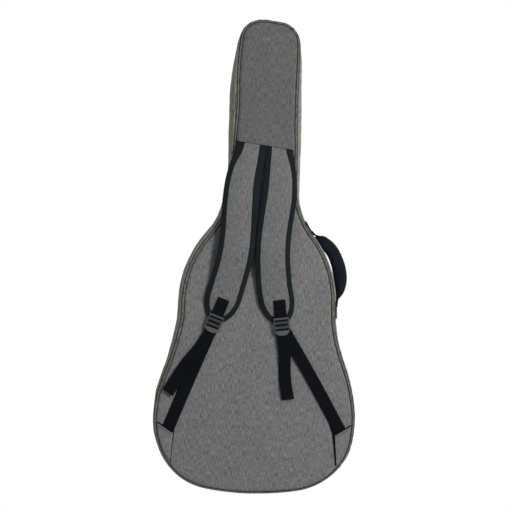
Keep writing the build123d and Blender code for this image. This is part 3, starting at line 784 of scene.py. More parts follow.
def rolled(rise, height):
    """How far up its roll a side wall is at a height, and how much of its turning in it has done."""
    roll = np.clip((rise - (height - ROLL)) / ROLL, 0, 1)
    return roll, (1 - np.sqrt(np.clip(1 - (roll * 0.97) ** 2.4, 0, 1))) / 0.7345


def gusset(name, edge_z, seam_z, panel_z):
    """Side wall of one half: fabric outside, lining inside, turned in at the zip and at the piping."""
    up = 1 if seam_z > edge_z else -1
    height = abs(seam_z - edge_z)
    bulge = BULGE + wander(RIM_LENGTH[:-1], 0.0006, 0.09, 3)
    profile = [
        (0.0095, edge_z + up * 0.0012), (0.0060, edge_z + up * 0.0003), (0.0024, edge_z),
        (0.0012, edge_z - up * 0.0001), (0.0004, edge_z + up * 0.0002),
    ]
    for share in np.linspace(0.02, 1, 15):
        inset = TURNED_IN * rolled(share * height, height)[1] - bulge * 4 * share * (1 - share)
        puckers = wander(RIM_LENGTH[:-1], 0.00035, 0.021, 11) * share**3
        profile.append((inset + puckers + 0.0004 * (share < 0.05), edge_z + up * height * share))
    outer = len(profile)
    inside_face = 0.0098
    profile += [
        (TURNED_IN + 0.0008, seam_z - up * 0.0040), (PANEL_INSET + 0.0025, panel_z + up * 0.0060),
        (inside_face, panel_z + up * 0.0005),
    ]
    profile += [(inside_face, edge_z + up * (height * s)) for s in (0.75, 0.5, 0.25, 0.08)]
    # the two faces that run down into the seam beside the piping take the dark tape: painted shade for the
    # seam line
    slots = [1, 1] + [0] * (outer - 3) + [2, 2] + [1] * (len(profile) - outer - 1)
    return rim_band(name, profile, [GUSSET, LINING, TAPE_AND_SEAM_SHADE], slots)


for half, *heights in (
    ("back", BACK_EDGE_Z, BACK_SEAM_Z, CEILING_Z), ("front", FRONT_EDGE_Z, FRONT_SEAM_Z, FLOOR_Z),
):
    wall = gusset(f"{half}_gusset_cover", *heights)
    put(wall, f"{half}_shell", "outer_fabric", f"{half}_gusset", fill=0.7)

for half, middle_z in (("back", 0.1281), ("front", 0.0116)):
    section = [
        (PIPING_INSET + PIPING_RADIUS * math.cos(t), middle_z + PIPING_RADIUS * math.sin(t))
        for t in circle(12)
    ]
    put(rim_band(f"{half}_piping_cord", section, [PIPING]), f"{half}_shell", "piping", f"{half}_piping")

zipped = ~((np.abs(RIM[:, 0]) < HINGE_HALF) & (RIM[:, 1] < 0))
for half, edge_z, reach in (("back", BACK_EDGE_Z, 1), ("front", FRONT_EDGE_Z, -1)):
    near_z, far_z = ZIP_Z + reach * 0.0011, edge_z + reach * 0.004
    mid_z = (near_z + far_z) / 2
    section = [
        (0.0034, near_z), (0.0030, mid_z), (0.0034, far_z),
        (0.0042, far_z), (0.0040, mid_z), (0.0044, near_z),
    ]
    tape = rim_band(f"{half}_zip_tape", section, [TAPE_AND_SEAM_SHADE], keep=zipped)
    put(tape, f"{half}_shell", "zip_tape", f"{half}_zip_half")


# reach, width and depth of a tooth at its root, middle and tip
TOOTH = [(-0.0016, 0.0013, 0.0016), (0.0002, 0.0017, 0.0022), (0.0012, 0.0011, 0.0014)]
TOOTH_PITCH = 0.0032


def zip_teeth(name, path, outs, inward, shift):
    """A row of interlocking teeth along a path; inward is the direction from the tape to the middle."""
    along = lengths(path)
    at = np.arange(TOOTH_PITCH * (0.5 + shift), along[-1], TOOTH_PITCH)
    c, d, o = (sampled(at, along, rows)[:, None, None] for rows in (path, directions(path), outs))
    reach, wide, deep = np.array(TOOTH).T[:, :, None, None]
    u, w = np.array([(-0.5, -0.5), (0.5, -0.5), (0.5, 0.5), (-0.5, 0.5)]).T[:, :, None]
    return beads(name, c + inward * reach + d * u * wide + o * w * deep, TEETH)


order = kept_run(zipped)
zip_line = at_height(rim(0.0036)[order], ZIP_Z)
zip_out = at_height(OUTWARD[order], 0)
put(zip_teeth("back_zip_teeth", zip_line, zip_out, -UP, 0.0), "back_shell", "zip_tape")
put(zip_teeth("front_zip_teeth", zip_line, zip_out, UP, 0.5), "front_shell", "zip_tape")

hinged = (np.abs(RIM[:, 0]) < HINGE_HALF + 0.006) & (RIM[:, 1] < 0)
levels = np.linspace(FRONT_EDGE_Z - 0.003, BACK_EDGE_Z + 0.003, 9)
section = [(0.0026, z) for z in levels] + [(0.0042, z) for z in levels[::-1]]
put(
    rim_band("hinge_fabric", section, [GUSSET], keep=hinged), "front_shell", "outer_fabric",
    "back_hinge_leaf", "front_hinge_leaf",
    onto=("back_shell", (0, BOTTOM_Y, FRONT_EDGE_Z), (0, BOTTOM_Y, BACK_EDGE_Z)),
)

# ======== back: padding, body panel and neck panel ========
panel_loop = rim(PANEL_INSET)
seam_point = np.array([0, SEAM_Y])
hem_point = seam_point - TO_HEAD * 0.0015
HEM_LIFT = 0.0072              # how high the strap tops lift the neck panel's hem
PADDING_INSET = 0.0088         # the padding's edge runs inside the gusset's lining


def edge_drop(gap, size, reach):
    """How far a cover rolls down towards its seam."""
    return size * np.clip(1 - gap / reach, 0, 1) ** 2


def puckered(gap, at, size, seed):
    """Small puckers that a seam pulls into the cloth beside it."""
    return size * np.exp(-gap / 0.012) * wander(at, 1, 0.017, seed)


def body_high(x, y, gap, at):
    """Upper face of the body panel, softly uneven and rolled down at its seam."""
    soft = swell(x, y, 0.00045, 0.11, 21) - 0.0006
    edge = puckered(gap, at, 0.0003, 22) - edge_drop(gap, 0.0024, 0.006)
    return BACK_Z + 0.0002 + soft * np.clip(gap / 0.03, 0, 1) + edge


# the panel's edge, rolled down into the seam beside the piping, is dark tape: painted shade for the seam
# line
back_cover = cushion(
    "back_panel_cover", clip(panel_loop, seam_point + TO_HEAD * 0.02, -TO_HEAD), 0.0075,
    BACK_Z - 0.0045, body_high, [BODY, LINING, TAPE_AND_SEAM_SHADE], rings=(0.001, 0.0025, 0.0048, 0.008),
)
put(back_cover, "back_shell", "outer_fabric", "back_panel", fill=0.5)

padding = cushion(
    "back_padding_lining", rim(PADDING_INSET), 0.014,
    lambda x, y, gap, at: CEILING_Z + swell(x, y, 0.0006, 0.16, 31) + edge_drop(gap, 0.003, 0.012),
    BACK_Z - 0.0042, [LINING], rings=(0.003, 0.007),
)
put(padding, "back_shell", "lining", "back_padding", fill=0.6)


def neck_high(x, y, gap, at):
    """Upper face of the neck panel, from its hem over the strap tops up to the head."""
    up = (np.column_stack([x, y]) - hem_point) @ TO_HEAD
    sides = np.clip((0.0735 - np.abs(x)) / 0.010, 0, 1) ** 0.6
    over_straps = HEM_LIFT * sides * (1 - smooth(up / 0.052))
    dip = 1 - 0.35 * np.exp(-(x / 0.005) ** 2) * np.exp(-up / 0.01)
    soft = swell(x, y, 0.0007, 0.10, 41)
    side_gap = np.where(up < gap + 0.0005, 0.03, gap)
    puckers = 0.0004 * np.exp(-up / 0.02) * wander(x, 1, 0.019, 43) + puckered(side_gap, at, 0.0003, 44)
    level = BACK_Z + 0.0012 + over_straps * dip + soft * np.clip(gap / 0.03, 0, 1)
    return level + puckers - edge_drop(side_gap, 0.0030, 0.007)


neck_cover = cushion(
    "neck_panel_cover", clip(panel_loop, hem_point, TO_HEAD), 0.005,
    lambda *place: neck_high(*place) - 0.0016, neck_high,
    [NECK], rings=(0.0008, 0.0022, 0.0042, 0.007), side=2,
)
put(neck_cover, "back_shell", "outer_fabric", "neck_panel", fill=0.4)
hem_rows = []
x = np.linspace(-0.0715, 0.0715, 60)
for rise in (0.0028, 0.0085):
    middle = hem_point + TO_HEAD * rise
    y = middle[1] - np.tan(SEAM_SLOPE) * (x - middle[0])
    hem_rows.append(np.column_stack([x, y, neck_high(x, y, np.full(60, 0.03), x) + 0.0001]))
put(stitches("hem_stitching", hem_rows, THREAD_GREY), "back_shell", "outer_fabric")

# ======== shoulder straps ========
STRAPS = {
    # centre line from under the hem to the buckle, with half the strap's width there
    "left": [
        (-0.0305, 0.279, 0.0320), (-0.0335, 0.257, 0.0325), (-0.0421, 0.220, 0.0340),
        (-0.0522, 0.173, 0.0370), (-0.0558, 0.127, 0.0388), (-0.0569, 0.070, 0.0394),
        (-0.0617, 0.0015, 0.0400), (-0.0765, -0.068, 0.0405),
    ],
    "right": [
        (0.0300, 0.279, 0.0288), (0.0305, 0.257, 0.0298), (0.0330, 0.223, 0.0322),
        (0.0357, 0.177, 0.0368), (0.0339, 0.131, 0.0388), (0.0273, 0.074, 0.0386),
        (0.0243, 0.005, 0.0388), (0.0282, -0.041, 0.0396), (0.0355, -0.086, 0.0400),
    ],
}
STRAP_TIP = 0.013              # how far the strap's thin tip reaches past the buckle's top bar
STRAP_POINT = 0.062            # length over which the strap narrows to it
# creases across the pads: where, how they tilt, and their half length
CREASES = ((0.040, 0.060, -0.06, 0.024), (0.046, 0.184, 0.10, 0.018), (-0.045, 0.205, 0.2, 0.018))
BINDING_WIDTH = 0.0106
BINDING_SPREAD = {"left": 0.0066, "right": 0.0044}          # how much wider it is at the hem, outside
# how far the binding juts past the strap's inner edge, into the gap between the straps: painted shade, dark
# binding filling that shadowed gap
BINDING_SHADE_OVERHANG = {"left": 0.0032, "right": 0.0010}
BAR_RISE = 0.002               # from a buckle's underside to the middle of its bars
BUCKLE_LENGTH = 0.039          # from its top bar to its lower lip


def strap_under(y):
    """Underside of a strap, which stands off the back in the middle of its length."""
    below_hem = smooth((y - SEAM_Y + 0.012 + STRAP_BEND) / STRAP_BEND)
    return STRAP_UNDER + 0.0005 + STRAP_RISE * smooth((y + 0.084) / STRAP_BEND) * (1 - below_hem)


def strap_top(plan, gap, bar, down):
    """Upper face of a strap: domed foam, pinched by its binding, the hem and the buckle."""
    x, y = plan.T
    pinch = 0.42 + 0.58 * smooth(-((plan - seam_point) @ TO_HEAD) / 0.045)
    pinch = pinch * (0.30 + 0.70 * smooth((-((plan - bar) @ down) - 0.007) / 0.034))
    foam = 0.0052 + 0.0056 * dome(gap, 0.030, SOFT_DOME)
    for crease_x, crease_y, tilt, reach in CREASES:
        off = (y - crease_y - tilt * (x - crease_x)) / 0.0019
        foam = foam - 0.0011 * np.exp(-off**2 - ((x - crease_x) / reach) ** 4)
    return strap_under(y) + foam * pinch + swell(x, y, 0.00035, 0.07, 51) * np.clip(gap / 0.02, 0, 1)


for side, (bar, angle) in BUCKLES.items():
    bar, down = np.array(bar), turned(angle)
    stations = np.array(STRAPS[side])
    middle = spline(np.vstack([stations[:, :2], bar + down * STRAP_TIP]), (0, -1), down, 160)
    run = directions(middle)
    beside = left_of(run)
    along = lengths(middle)
    half = np.interp(middle[:, 1], stations[::-1, 1], stations[::-1, 2])
    half = half * np.sqrt(1 - np.clip((along - along[-1]) / STRAP_POINT + 1, 0, 1) ** 2)
    loop = np.vstack([middle - beside * half[:, None], (middle + beside * half[:, None])[::-1]])
    loop = resample(anticlockwise(loop), spacing=0.002, closed=True)
    loop = clip(loop, seam_point + TO_HEAD * 0.006, -TO_HEAD)

    def top_of(plan, gap):
        """This strap's upper face."""
        return strap_top(plan, gap, bar, down)

    def strap_map(plan):
        """The map's place of points: across the strap and along it."""
        near = ((plan[:, None, :] - middle[None]) ** 2).sum(2).argmin(1)
        off = plan - middle[near]
        return np.column_stack([(off * beside[near]).sum(1), along[near] + (off * run[near]).sum(1)])

    body = f"strap_{side}"
    bend = f"buckle_{side}", (*bar, STRAP_UNDER), (*(bar + down * 0.012), STRAP_UNDER)
    pad = cushion(
        f"strap_pad_{side}_cover", loop, 0.005,
        lambda x, y, gap, at: strap_under(y) + 0.0002,
        lambda x, y, gap, at: top_of(np.column_stack([x, y]), gap),
        [STRAP, MESH, BINDING], rings=(0.0015, 0.004, 0.0085), uv=strap_map,
    )
    put(pad, body, "strap_fabric", f"strap_pad_{side}", fill=0.8, onto=bend)

    # binding: tape folded round the strap's edge, open where the strap runs in under the hem
    rail = resample(loop, spacing=0.003, closed=True)
    open_end = ((rail - seam_point) @ TO_HEAD) > 0.0052
    start = int(np.flatnonzero(open_end & ~np.roll(open_end, -1))[0]) + 1
    rail = np.roll(rail, -start, axis=0)[: int((~open_end).sum())]
    normal = unit(eased(-left_of(directions(rail))))
    # the binding is made wider towards the hem
    hand = np.sign(rail[:, 0] - np.interp(rail[:, 1], middle[::-1, 1], middle[::-1, 0]))
    outside = hand == (1 if side == "right" else -1)
    spread = np.where(outside, BINDING_SPREAD[side], 0.0024)
    width = BINDING_WIDTH + spread * smooth((rail[:, 1] - 0.206) / 0.044)
    # on the inner side the binding juts out past the strap's edge: dark binding standing in for the shade in
    # the narrow gap between the straps (painted shade)
    shade_overhang = np.where(outside, 0, BINDING_SHADE_OVERHANG[side]) * smooth((rail[:, 1] - 0.05) / 0.06)

    def laid(inset, stand, under=False):
        """A row of the binding, that far in from the strap's edge and off its upper or lower face."""
        inset = np.broadcast_to(inset, len(rail))
        plan = rail - normal * inset[:, None]
        return at_height(plan, (strap_under(plan[:, 1]) if under else top_of(plan, inset)) + stand)

    # over the upper face, round the edge and along the underside
    sections = [laid(width * share, 0.0009 if share < 1 else 0.0005) for share in (1, 0.94, 0.7, 0.45)]
    sections += [laid(0.0025, 0.0008), laid(0.0008, 0.0007)]
    top_edge, low_edge = top_of(rail, np.zeros(len(rail))), strap_under(rail[:, 1])
    for reach, share in ((0.0004, 1.03), (0.0011, 0.8), (0.0013, 0.5), (0.0010, 0.2), (0.0003, 0.0)):
        over = (reach + shade_overhang * (1 - abs(share - 0.5)))[:, None]
        sections.append(at_height(rail + normal * over, low_edge + (top_edge - low_edge) * share))
    for inset, stand in ((0.0012, -0.0003), (0.0035, -0.0005), (width, -0.0005)):
        sections.append(laid(inset, stand, under=True))
    # and back inside, along the pad
    sections += [laid(width - 0.0006, 0.0006, under=True), laid(0.003, 0.0006, under=True)]
    sections += [laid(0.003, -0.0006), laid(width - 0.0006, -0.0006)]
    sections = np.stack(sections, 1)
    half_way = sections[len(rail) // 2]
    binding = swept(f"strap_binding_{side}_tape", sections, BINDING, lengths(rail), half_way)
    row = laid(width - 0.0018, 0.0011)
    stitching = stitches(f"strap_stitching_{side}", [row], THREAD_BLACK)
    put(binding, body, "binding", f"strap_binding_{side}", onto=bend)
    put(stitching, body, "binding", onto=bend)

    # webbing sewn on the pad and folded round the buckle's top bar
    bar_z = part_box(f"buckle_{side}")[0].z + BAR_RISE
    outer = 0.0023 + 0.0008    # the bar's half, and the webbing's
    back = np.linspace(0.043, 0.004, 22)
    plan = bar - down * back[:, None]
    rest_z = top_of(plan, nearest(plan, loop)[0] * inside(plan, loop)) + 0.0016
    to_bar = smooth((0.016 - back) / 0.012)
    patch_z = np.maximum(rest_z * (1 - to_bar) + (bar_z + outer) * to_bar, rest_z)
    turn = np.radians(np.linspace(90, -90, 12))
    path = np.vstack([
        at_height(plan, patch_z),
        at_height(bar + down * (outer * np.cos(turn))[:, None], bar_z + outer * np.sin(turn)),
        at_height(bar - down * np.linspace(0.002, 0.0062, 4)[:, None], bar_z - outer),
    ])
    across = np.append(left_of(down), 0)
    put(webbing(f"strap_loop_{side}_webbing", path, across), body, "webbing", f"strap_loop_{side}")
    far, near, wide = 0.040, 0.017, 0.0115
    box = [(far, -wide), (far, wide), (near, wide), (near, -wide), (far, -wide), (near, wide)]
    lines = []
    for row in (box, [(far, wide), (near, -wide)]):
        row = resample([bar - down * a + across[:2] * b for a, b in row], spacing=0.001)
        lines.append(at_height(row, np.interp(-(row - bar) @ down, back[::-1], patch_z[::-1]) + 0.0009))
    crossed = stitches(f"patch_stitching_{side}", lines, THREAD_BLACK, radius=0.0003, **CLOSE)
    put(crossed, body, "webbing")

# ======== lower webbing, tails and anchors ========
# corners of each anchor tab: the outer and inner end of its hem, and its inner corner at the piping
ANCHORS = {
    "left": [(-0.223, -0.385), (-0.1865, -0.409), (-0.190, -0.475)],
    "right": [(0.223, -0.380), (0.1865, -0.403), (0.1925, -0.472)],
}
BOWS = {"left": 0.0008, "right": 0.0022}                    # how far the lower webbing bows sideways
# of the webbing's tucked-in end, a dark strip beside the tab that is also painted shadow along the tab's
# edge: how far it shows at the tab's top and foot, and how far up it starts
TUCKS_AND_SHADOWS = {"left": (0.0020, 0.0012, 0.010), "right": (0.0062, 0.0026, 0.030)}
# of the free tails: heading, length past the buckle, height on the back, phase of the wave
TAILS = {"left": (-34.0, 0.169, 0.0058, 0.4), "right": (6.5, 0.148, 0.0034, 2.2)}
TAIL_FROM = 0.0046             # the tail starts that far down inside the buckle

for side, (bar, angle) in BUCKLES.items():
    bar, down = np.array(bar), turned(angle)
    bar_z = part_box(f"buckle_{side}")[0].z + BAR_RISE
    hand = 1 if side == "right" else -1
    outer, inner, foot = (np.array(corner) for corner in ANCHORS[side])
    edge_run = unit(outer - inner)
    up_bag = left_of(edge_run) * hand

    anchor = cushion(
        f"strap_anchor_{side}_tab", upper_loop(f"strap_anchor_{side}"), 0.004, BACK_Z - 0.0010,
        lambda x, y, gap, at: BACK_Z + 0.0012 + 0.0014 * dome(gap, 0.010)
        + puckered(gap, at, 0.0003, 61),
        [ANCHOR], rings=(0.0008, 0.002, 0.004),
    )
    put(anchor, "back_shell", "outer_fabric", f"strap_anchor_{side}")
    face_z = BACK_Z + 0.0028       # of the thread and the hem
    share = np.linspace(0, 1, 20)[:, None]
    hem_from, hem_to = inner + edge_run * 0.0010, inner + edge_run * 0.0425
    hem_line = at_height(hem_from + (hem_to - hem_from) * share - up_bag * 0.0012, face_z)
    across = np.append(up_bag, 0)
    hem = ribbon(f"strap_anchor_{side}_edge", hem_line, across, 0.0014, 0.0014, WEBBING, lanes=3)
    put(hem, "back_shell", "binding")
    row = hem_from + (hem_to - edge_run * 0.006 - hem_from) * share
    rows = [at_height(row - up_bag * step, face_z) for step in (0.0062, 0.0085)]
    put(stitches(f"anchor_stitching_{side}", rows, THREAD_BLACK), "back_shell", "webbing")

    # lower webbing, from the tab up to the space under the buckle
    corner = inner + up_bag * 0.0008
    top, top_z = bar + down * (BUCKLE_LENGTH - 0.022), bar_z - 0.0050
    low = corner + edge_run * WEBBING_HALF
    for _ in range(3):
        run = unit(top - low)
        cross = -left_of(run)
        low = corner + edge_run * WEBBING_HALF / abs(edge_run @ cross)
    share = np.linspace(-0.004, 1, 90)
    plan = low + (top - low) * share[:, None]
    plan = plan + cross * hand * (BOWS[side] * np.sin(math.pi * share))[:, None]
    low_z = BACK_Z + 0.0022
    height = low_z + (top_z - low_z) * np.clip(share, 0, 1) ** 1.6
    height = height + wander(share, 0.0003, 0.16, 71) * np.sin(math.pi * share)
    lower = webbing(f"webbing_{side}_strip", at_height(plan, height), np.append(cross, 0))
    put(lower, f"webbing_{side}", "webbing", f"webbing_{side}")

    # a dark strip showing beside the tab and narrowing to the piping: on the left painted shadow only, on
    # the right partly the webbing's turned-in end and partly painted shadow along the tab's edge
    tab_side = foot - inner
    beside_tab = left_of(unit(tab_side))
    beside_tab *= -1 if beside_tab @ edge_run > 0 else 1
    at_top, at_foot, start = TUCKS_AND_SHADOWS[side]
    tuck_and_shadow_loop = np.array([
        inner + edge_run * 0.004 + run * 0.002, inner + run * start,
        inner + beside_tab * at_top, inner + beside_tab * (at_top + at_foot) / 2 + tab_side * 0.4,
        inner + beside_tab * at_foot + tab_side * 1.04, inner - beside_tab * 0.0008 + tab_side * 1.04,
        inner - beside_tab * 0.0008,
    ])
    tuck_and_shadow = cushion(
        f"strap_anchor_{side}_tuck_and_shadow", anticlockwise(tuck_and_shadow_loop), 0.0012, BACK_Z - 0.0012,
        lambda x, y, gap, at: BACK_Z + 0.0010 + 0.0005 * np.clip(gap / 0.001, 0, 1), [WEBBING],
    )
    put(tuck_and_shadow, "back_shell", "webbing")

    # free tail, out from under the lip and down on to the back
    heading, length, lying, phase = TAILS[side]
    under = BUCKLE_LENGTH - TAIL_FROM
    distance = np.linspace(0, under + length, 80)
    turn_share = smooth((distance - 0.022) / 0.032)[:, None]
    headings = unit(down * (1 - turn_share) + turned(heading) * turn_share)
    sideways = left_of(headings)
    plan = bar + down * TAIL_FROM + np.vstack([[0, 0], np.cumsum(headings[:-1] * distance[1], axis=0)])
    past = distance - under
    plan = plan + sideways * (0.0018 * np.sin(2 * math.pi * past / 0.13) * smooth(past / 0.05))[:, None]
    fall = smooth((past - 0.004) / 0.075)
    height = (bar_z - 0.0025) * (1 - fall) + (BACK_Z + lying) * fall
    wave = 0.0016 * np.sin(2 * math.pi * past / 0.062 + phase)
    curl = 0.004 * smooth((past - length + 0.035) / 0.035)
    height = height + wave * smooth((past - 0.03) / 0.05) + curl
    tail_body = body_of(frame["nodes"][f"webbing_tail_{side}"])[0]
    tail = webbing(f"webbing_tail_{side}_strip", at_height(plan, height), at_height(sideways, 0.05))
    put(tail, tail_body, "webbing", f"webbing_tail_{side}")
    hem_rows = [
        at_height(plan[k] + sideways[k] * np.linspace(-0.012, 0.012, 12)[:, None], height[k] + 0.0009)
        for k in (-4, -2)
    ]
    hemmed = stitches(f"tail_stitching_{side}", hem_rows, THREAD_BLACK, radius=0.0003, **CLOSE)
    put(hemmed, tail_body, "webbing")


# ======== carry handle ========
def polar(radius, angle):
    """Places round the shoulder's arc, by angles in degrees."""
    angle = np.radians(np.asarray(angle, float))
    radius = np.broadcast_to(radius, angle.shape)
    return SHOULDER + np.stack([np.cos(angle), np.sin(angle)], -1) * radius[..., None]


# radii of the grip's inner and outer faces round the shoulder, by angle
GRIP_INNER = [
    (2.6, 0.2506), (5.5, 0.2499), (9.8, 0.2499), (13.0, 0.2500), (16.3, 0.2506), (18.4, 0.2518),
    (20.6, 0.2528), (25.2, 0.2532), (27.5, 0.2527), (30.3, 0.2490), (32.9, 0.2468), (35.3, 0.2468),
    (39.4, 0.2474),
]
GRIP_OUTER = [
    (2.4, 0.2526), (3.3, 0.2574), (5.3, 0.2659), (7.2, 0.2715), (9.1, 0.2752), (11.0, 0.2784),
    (12.8, 0.2805), (14.7, 0.2820), (18.5, 0.2838), (22.5, 0.2837), (26.65, 0.2830), (28.9, 0.2815),
    (31.4, 0.2787), (34.3, 0.2733), (36.8, 0.2678),
]
GRIP_HALF = 0.0148             # half its width, up and down
SQUARED = 0.78                 # power that makes its section squarer than an ellipse
ROUNDING = 2.2                 # power of the curve that rounds its ends


def grip_face(table):
    """One face of the grip along its length, with more points near its ends."""
    at, radii = np.array(table).T
    around = at[0] + (at[-1] - at[0]) * (0.5 - 0.5 * np.cos(np.linspace(0, math.pi, 80)))
    return polar(eased(np.interp(around, at, radii)), around)


inner_arc, outer_arc = grip_face(GRIP_INNER), grip_face(GRIP_OUTER)
centre = (inner_arc + outer_arc) / 2
spoke = unit(outer_arc - inner_arc)
half_thick = np.linalg.norm(outer_arc - inner_arc, axis=1) / 2
grip_along = lengths(centre)
from_end = np.minimum(grip_along, grip_along[-1] - grip_along)
waist = 0.80 + 0.20 * np.sin(math.pi * grip_along / grip_along[-1])


def full(reach, least):
    """Rounds the grip's ends off."""
    return least + (1 - least) * np.clip(dome(from_end, reach, ROUNDING), 0, 1) ** (1 / ROUNDING)


fullness, deepness = full(0.005, 0.55), full(0.012, 0.35)
grip_points = []
for t in circle(36):
    c, s = math.cos(t), math.sin(t)
    groove = 1 - 0.035 * math.exp(-((t - math.pi) / 0.09) ** 2)
    radial = half_thick * np.sign(c) * abs(c) ** SQUARED * fullness * groove
    axial = GRIP_HALF * np.sign(s) * abs(s) ** SQUARED * deepness * waist
    grip_points.append(at_height(centre + spoke * radial[:, None], HANDLE_Z + axial))
grip_points = np.stack(grip_points, 1)
grip = swept("handle_grip_cover", grip_points, GRIP, grip_along, grip_points[40])
put(grip, "handle", "grip", "handle_grip", fill=0.9)
sewn = slice(18, -24)
inner_face = centre[sewn] - spoke[sewn] * (half_thick[sewn] * fullness[sewn] + 0.0001)[:, None]
rows = [at_height(inner_face, HANDLE_Z + high) for high in (-0.0032, 0.0032)]
ups = [at_height(-spoke[sewn], 0)] * 2
put(stitches("handle_stitching", rows, THREAD_BLACK, ups), "handle", "grip")

wall = RIM - SHOULDER
wall_angle, wall_radius = np.degrees(np.arctan2(wall[:, 1], wall[:, 0])), np.linalg.norm(wall, axis=1)
near_handle = (RIM[:, 0] > 0) & (RIM[:, 1] > -0.2) & (RIM[:, 1] < 0.2)
ranked = np.flatnonzero(near_handle)[np.argsort(wall_angle[near_handle])]


def off_wall(angle, gap):
    """A place that far off the side of the bag, at an angle round the shoulder."""
    return polar(np.interp(angle, wall_angle[ranked], wall_radius[ranked]) + gap, angle)


# each tab is sewn round the side wall, up on to its roll beside the piping; it is from and to these
# heights along the bag, and stitched where the handle's webbing doesn't cover it
TABS = {"lower": (-0.1375, -0.0935, -0.2, -0.113), "upper": (0.0530, 0.0865, 0.067, 0.2)}
# the webbing's ends: angles and gaps off the wall, then angles and radii on into the grip
WEBBING_ENDS = {
    "lower": ((-1.0, 0.4, 1.6, 2.6), (0.0042, 0.0044, 0.0050, 0.0058), (3.6, 4.6), (0.2540, 0.2562)),
    "upper": (
        (42.4, 41.0, 39.8, 38.6), (0.0042, 0.0044, 0.0054, 0.0084), (37.4, 36.2), (0.2588, 0.2592),
    ),
}
TAB_LEVELS = np.linspace(0.079, 0.1235, 14)
for end, (low_y, high_y, free_from, free_to) in TABS.items():
    angles, gaps, grip_angles, grip_radii = WEBBING_ENDS[end]
    plan = np.vstack([off_wall(angles, np.array(gaps)), polar(grip_radii, grip_angles)])
    plan = spline(plan, *directions(plan)[[0, -1]], 26)
    plan = at_height(plan, HANDLE_Z)
    strip = ribbon(f"handle_webbing_{end}_strip", plan, UP, 0.0125, 0.0024, WEBBING, lanes=7)
    put(strip, "handle", "webbing", f"handle_webbing_{end}")

    rows = np.flatnonzero((RIM[:, 0] > 0) & (RIM[:, 1] > low_y) & (RIM[:, 1] < high_y))
    rows = rows[np.argsort(RIM[rows, 1])]
    tall = BACK_SEAM_Z - BACK_EDGE_Z
    share = (TAB_LEVELS - BACK_EDGE_Z) / tall
    bulges = BULGE * 4 * share * (1 - share)
    roll, rolled_in = rolled(TAB_LEVELS - BACK_EDGE_Z, tall)

    def tab_face(stand):
        """The side wall's own face behind the tab, moved out by a distance."""
        columns = []
        for level, up, turned_in, bulge in zip(TAB_LEVELS, roll, rolled_in, bulges):
            inset = (TURNED_IN[rows] * turned_in - bulge - stand)[:, None]
            columns.append(at_height(RIM[rows] - OUTWARD[rows] * inset, level + stand * up * 0.7))
        return np.stack(columns, 1)

    outer_face, under_face = tab_face(0.0024), tab_face(0.0002)
    low_edge = under_face[:, -1:] + UP * 0.0007
    top_edge = outer_face[:, -1:] * 0.4 + under_face[:, -1:] * 0.6 + UP * 0.0009
    points = np.concatenate([outer_face, top_edge, low_edge, under_face[:, ::-1]], 1)
    tab = swept(f"handle_tab_{end}_patch", points, WEBBING, lengths(RIM[rows]), points[0])
    put(tab, "back_shell", "webbing", f"handle_tab_{end}")
    free = rows[(RIM[rows, 1] > free_from) & (RIM[rows, 1] < free_to)]
    face = RIM[free] + OUTWARD[free] * 0.0040
    n, high = len(face), 0.0095
    box = [(1, -high), (1, high), (n - 2, high), (n - 2, -high), (1, -high), (n - 2, high)]
    path = resample([np.append(face[k], HANDLE_Z + z) for k, z in box], spacing=0.0015)
    out = np.append(OUTWARD[free[n // 2]], 0)
    sewn_on = stitches(f"handle_tab_{end}_stitching", [path], THREAD_BLACK, [out], **CLOSE)
    put(sewn_on, "back_shell", "webbing")

# ======== pockets on the front ========
PIPE = 0.0016                  # radius of the cord round a pocket
for name, depth in (("large_pocket", 0.0075), ("neck_pocket", 0.0070)):
    loop = upper_loop(name)
    pocket = cushion(
        f"{name}_pouch", loop, 0.010,
        lambda x, y, gap, at: FRONT_Z - 0.0024 - depth * dome(gap, 0.055)
        + swell(x, y, 0.0006, 0.09, 81) * np.clip(gap / 0.05, 0, 1) + puckered(gap, at, 0.0004, 82),
        FRONT_Z - 0.0004, [BODY], rings=(0.002, 0.005, 0.009), side=2,
    )
    put(pocket, "front_shell", "outer_fabric", name, fill=0.5)
    border = resample(loop, spacing=0.004, closed=True)
    tube = np.stack([
        at_height(border + outward(border) * PIPE * math.cos(t), FRONT_Z - 0.0018 + PIPE * math.sin(t))
        for t in circle(8)
    ], 1)
    sizes = lengths(border, closed=True), lengths(tube[0], closed=True)
    put(grid(f"{name}_edge", tube, [BINDING], *sizes, True, True), "front_shell", "binding")

lo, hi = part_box("pocket_zip")
x = np.linspace(lo.x, hi.x, 60)
for reach, label, nodes in ((1, "upper", ["pocket_zip"]), (-1, "lower", [])):
    tape_line, teeth_line = (
        np.column_stack([x, np.full(60, (lo.y + hi.y) / 2 + reach * off), np.full(60, FRONT_Z - depth)])
        for off, depth in ((0.0072, 0.0016), (0.0010, 0.0018))
    )
    tape = ribbon(f"pocket_zip_tape_{label}", tape_line, (0, 1, 0), 0.0056, 0.0012, TAPE_AND_SEAM_SHADE)
    put(tape, "front_shell", "zip_tape", *nodes)
    outs, shift = np.broadcast_to(-UP, (60, 3)), (1 - reach) / 4
    teeth = zip_teeth(f"pocket_zip_teeth_{label}", teeth_line, outs, np.array([0, -reach, 0.0]), shift)
    put(teeth, "front_shell", "zip_tape")

# ======== front panel and the padded interior ========
front = cushion(
    "front_panel_board", panel_loop, 0.013,
    lambda x, y, gap, at: FRONT_Z + 0.0004 + edge_drop(gap, 0.0026, 0.010)
    + swell(x, y, 0.0003, 0.12, 91),
    lambda x, y, gap, at: FLOOR_Z - 0.0006 - edge_drop(gap, 0.003, 0.012)
    + swell(x, y, 0.0006, 0.16, 92),
    [LINING, BODY, LINING], rings=(0.001, 0.004, 0.008),
)
put(front, "front_shell", "lining", "front_panel", fill=0.6)

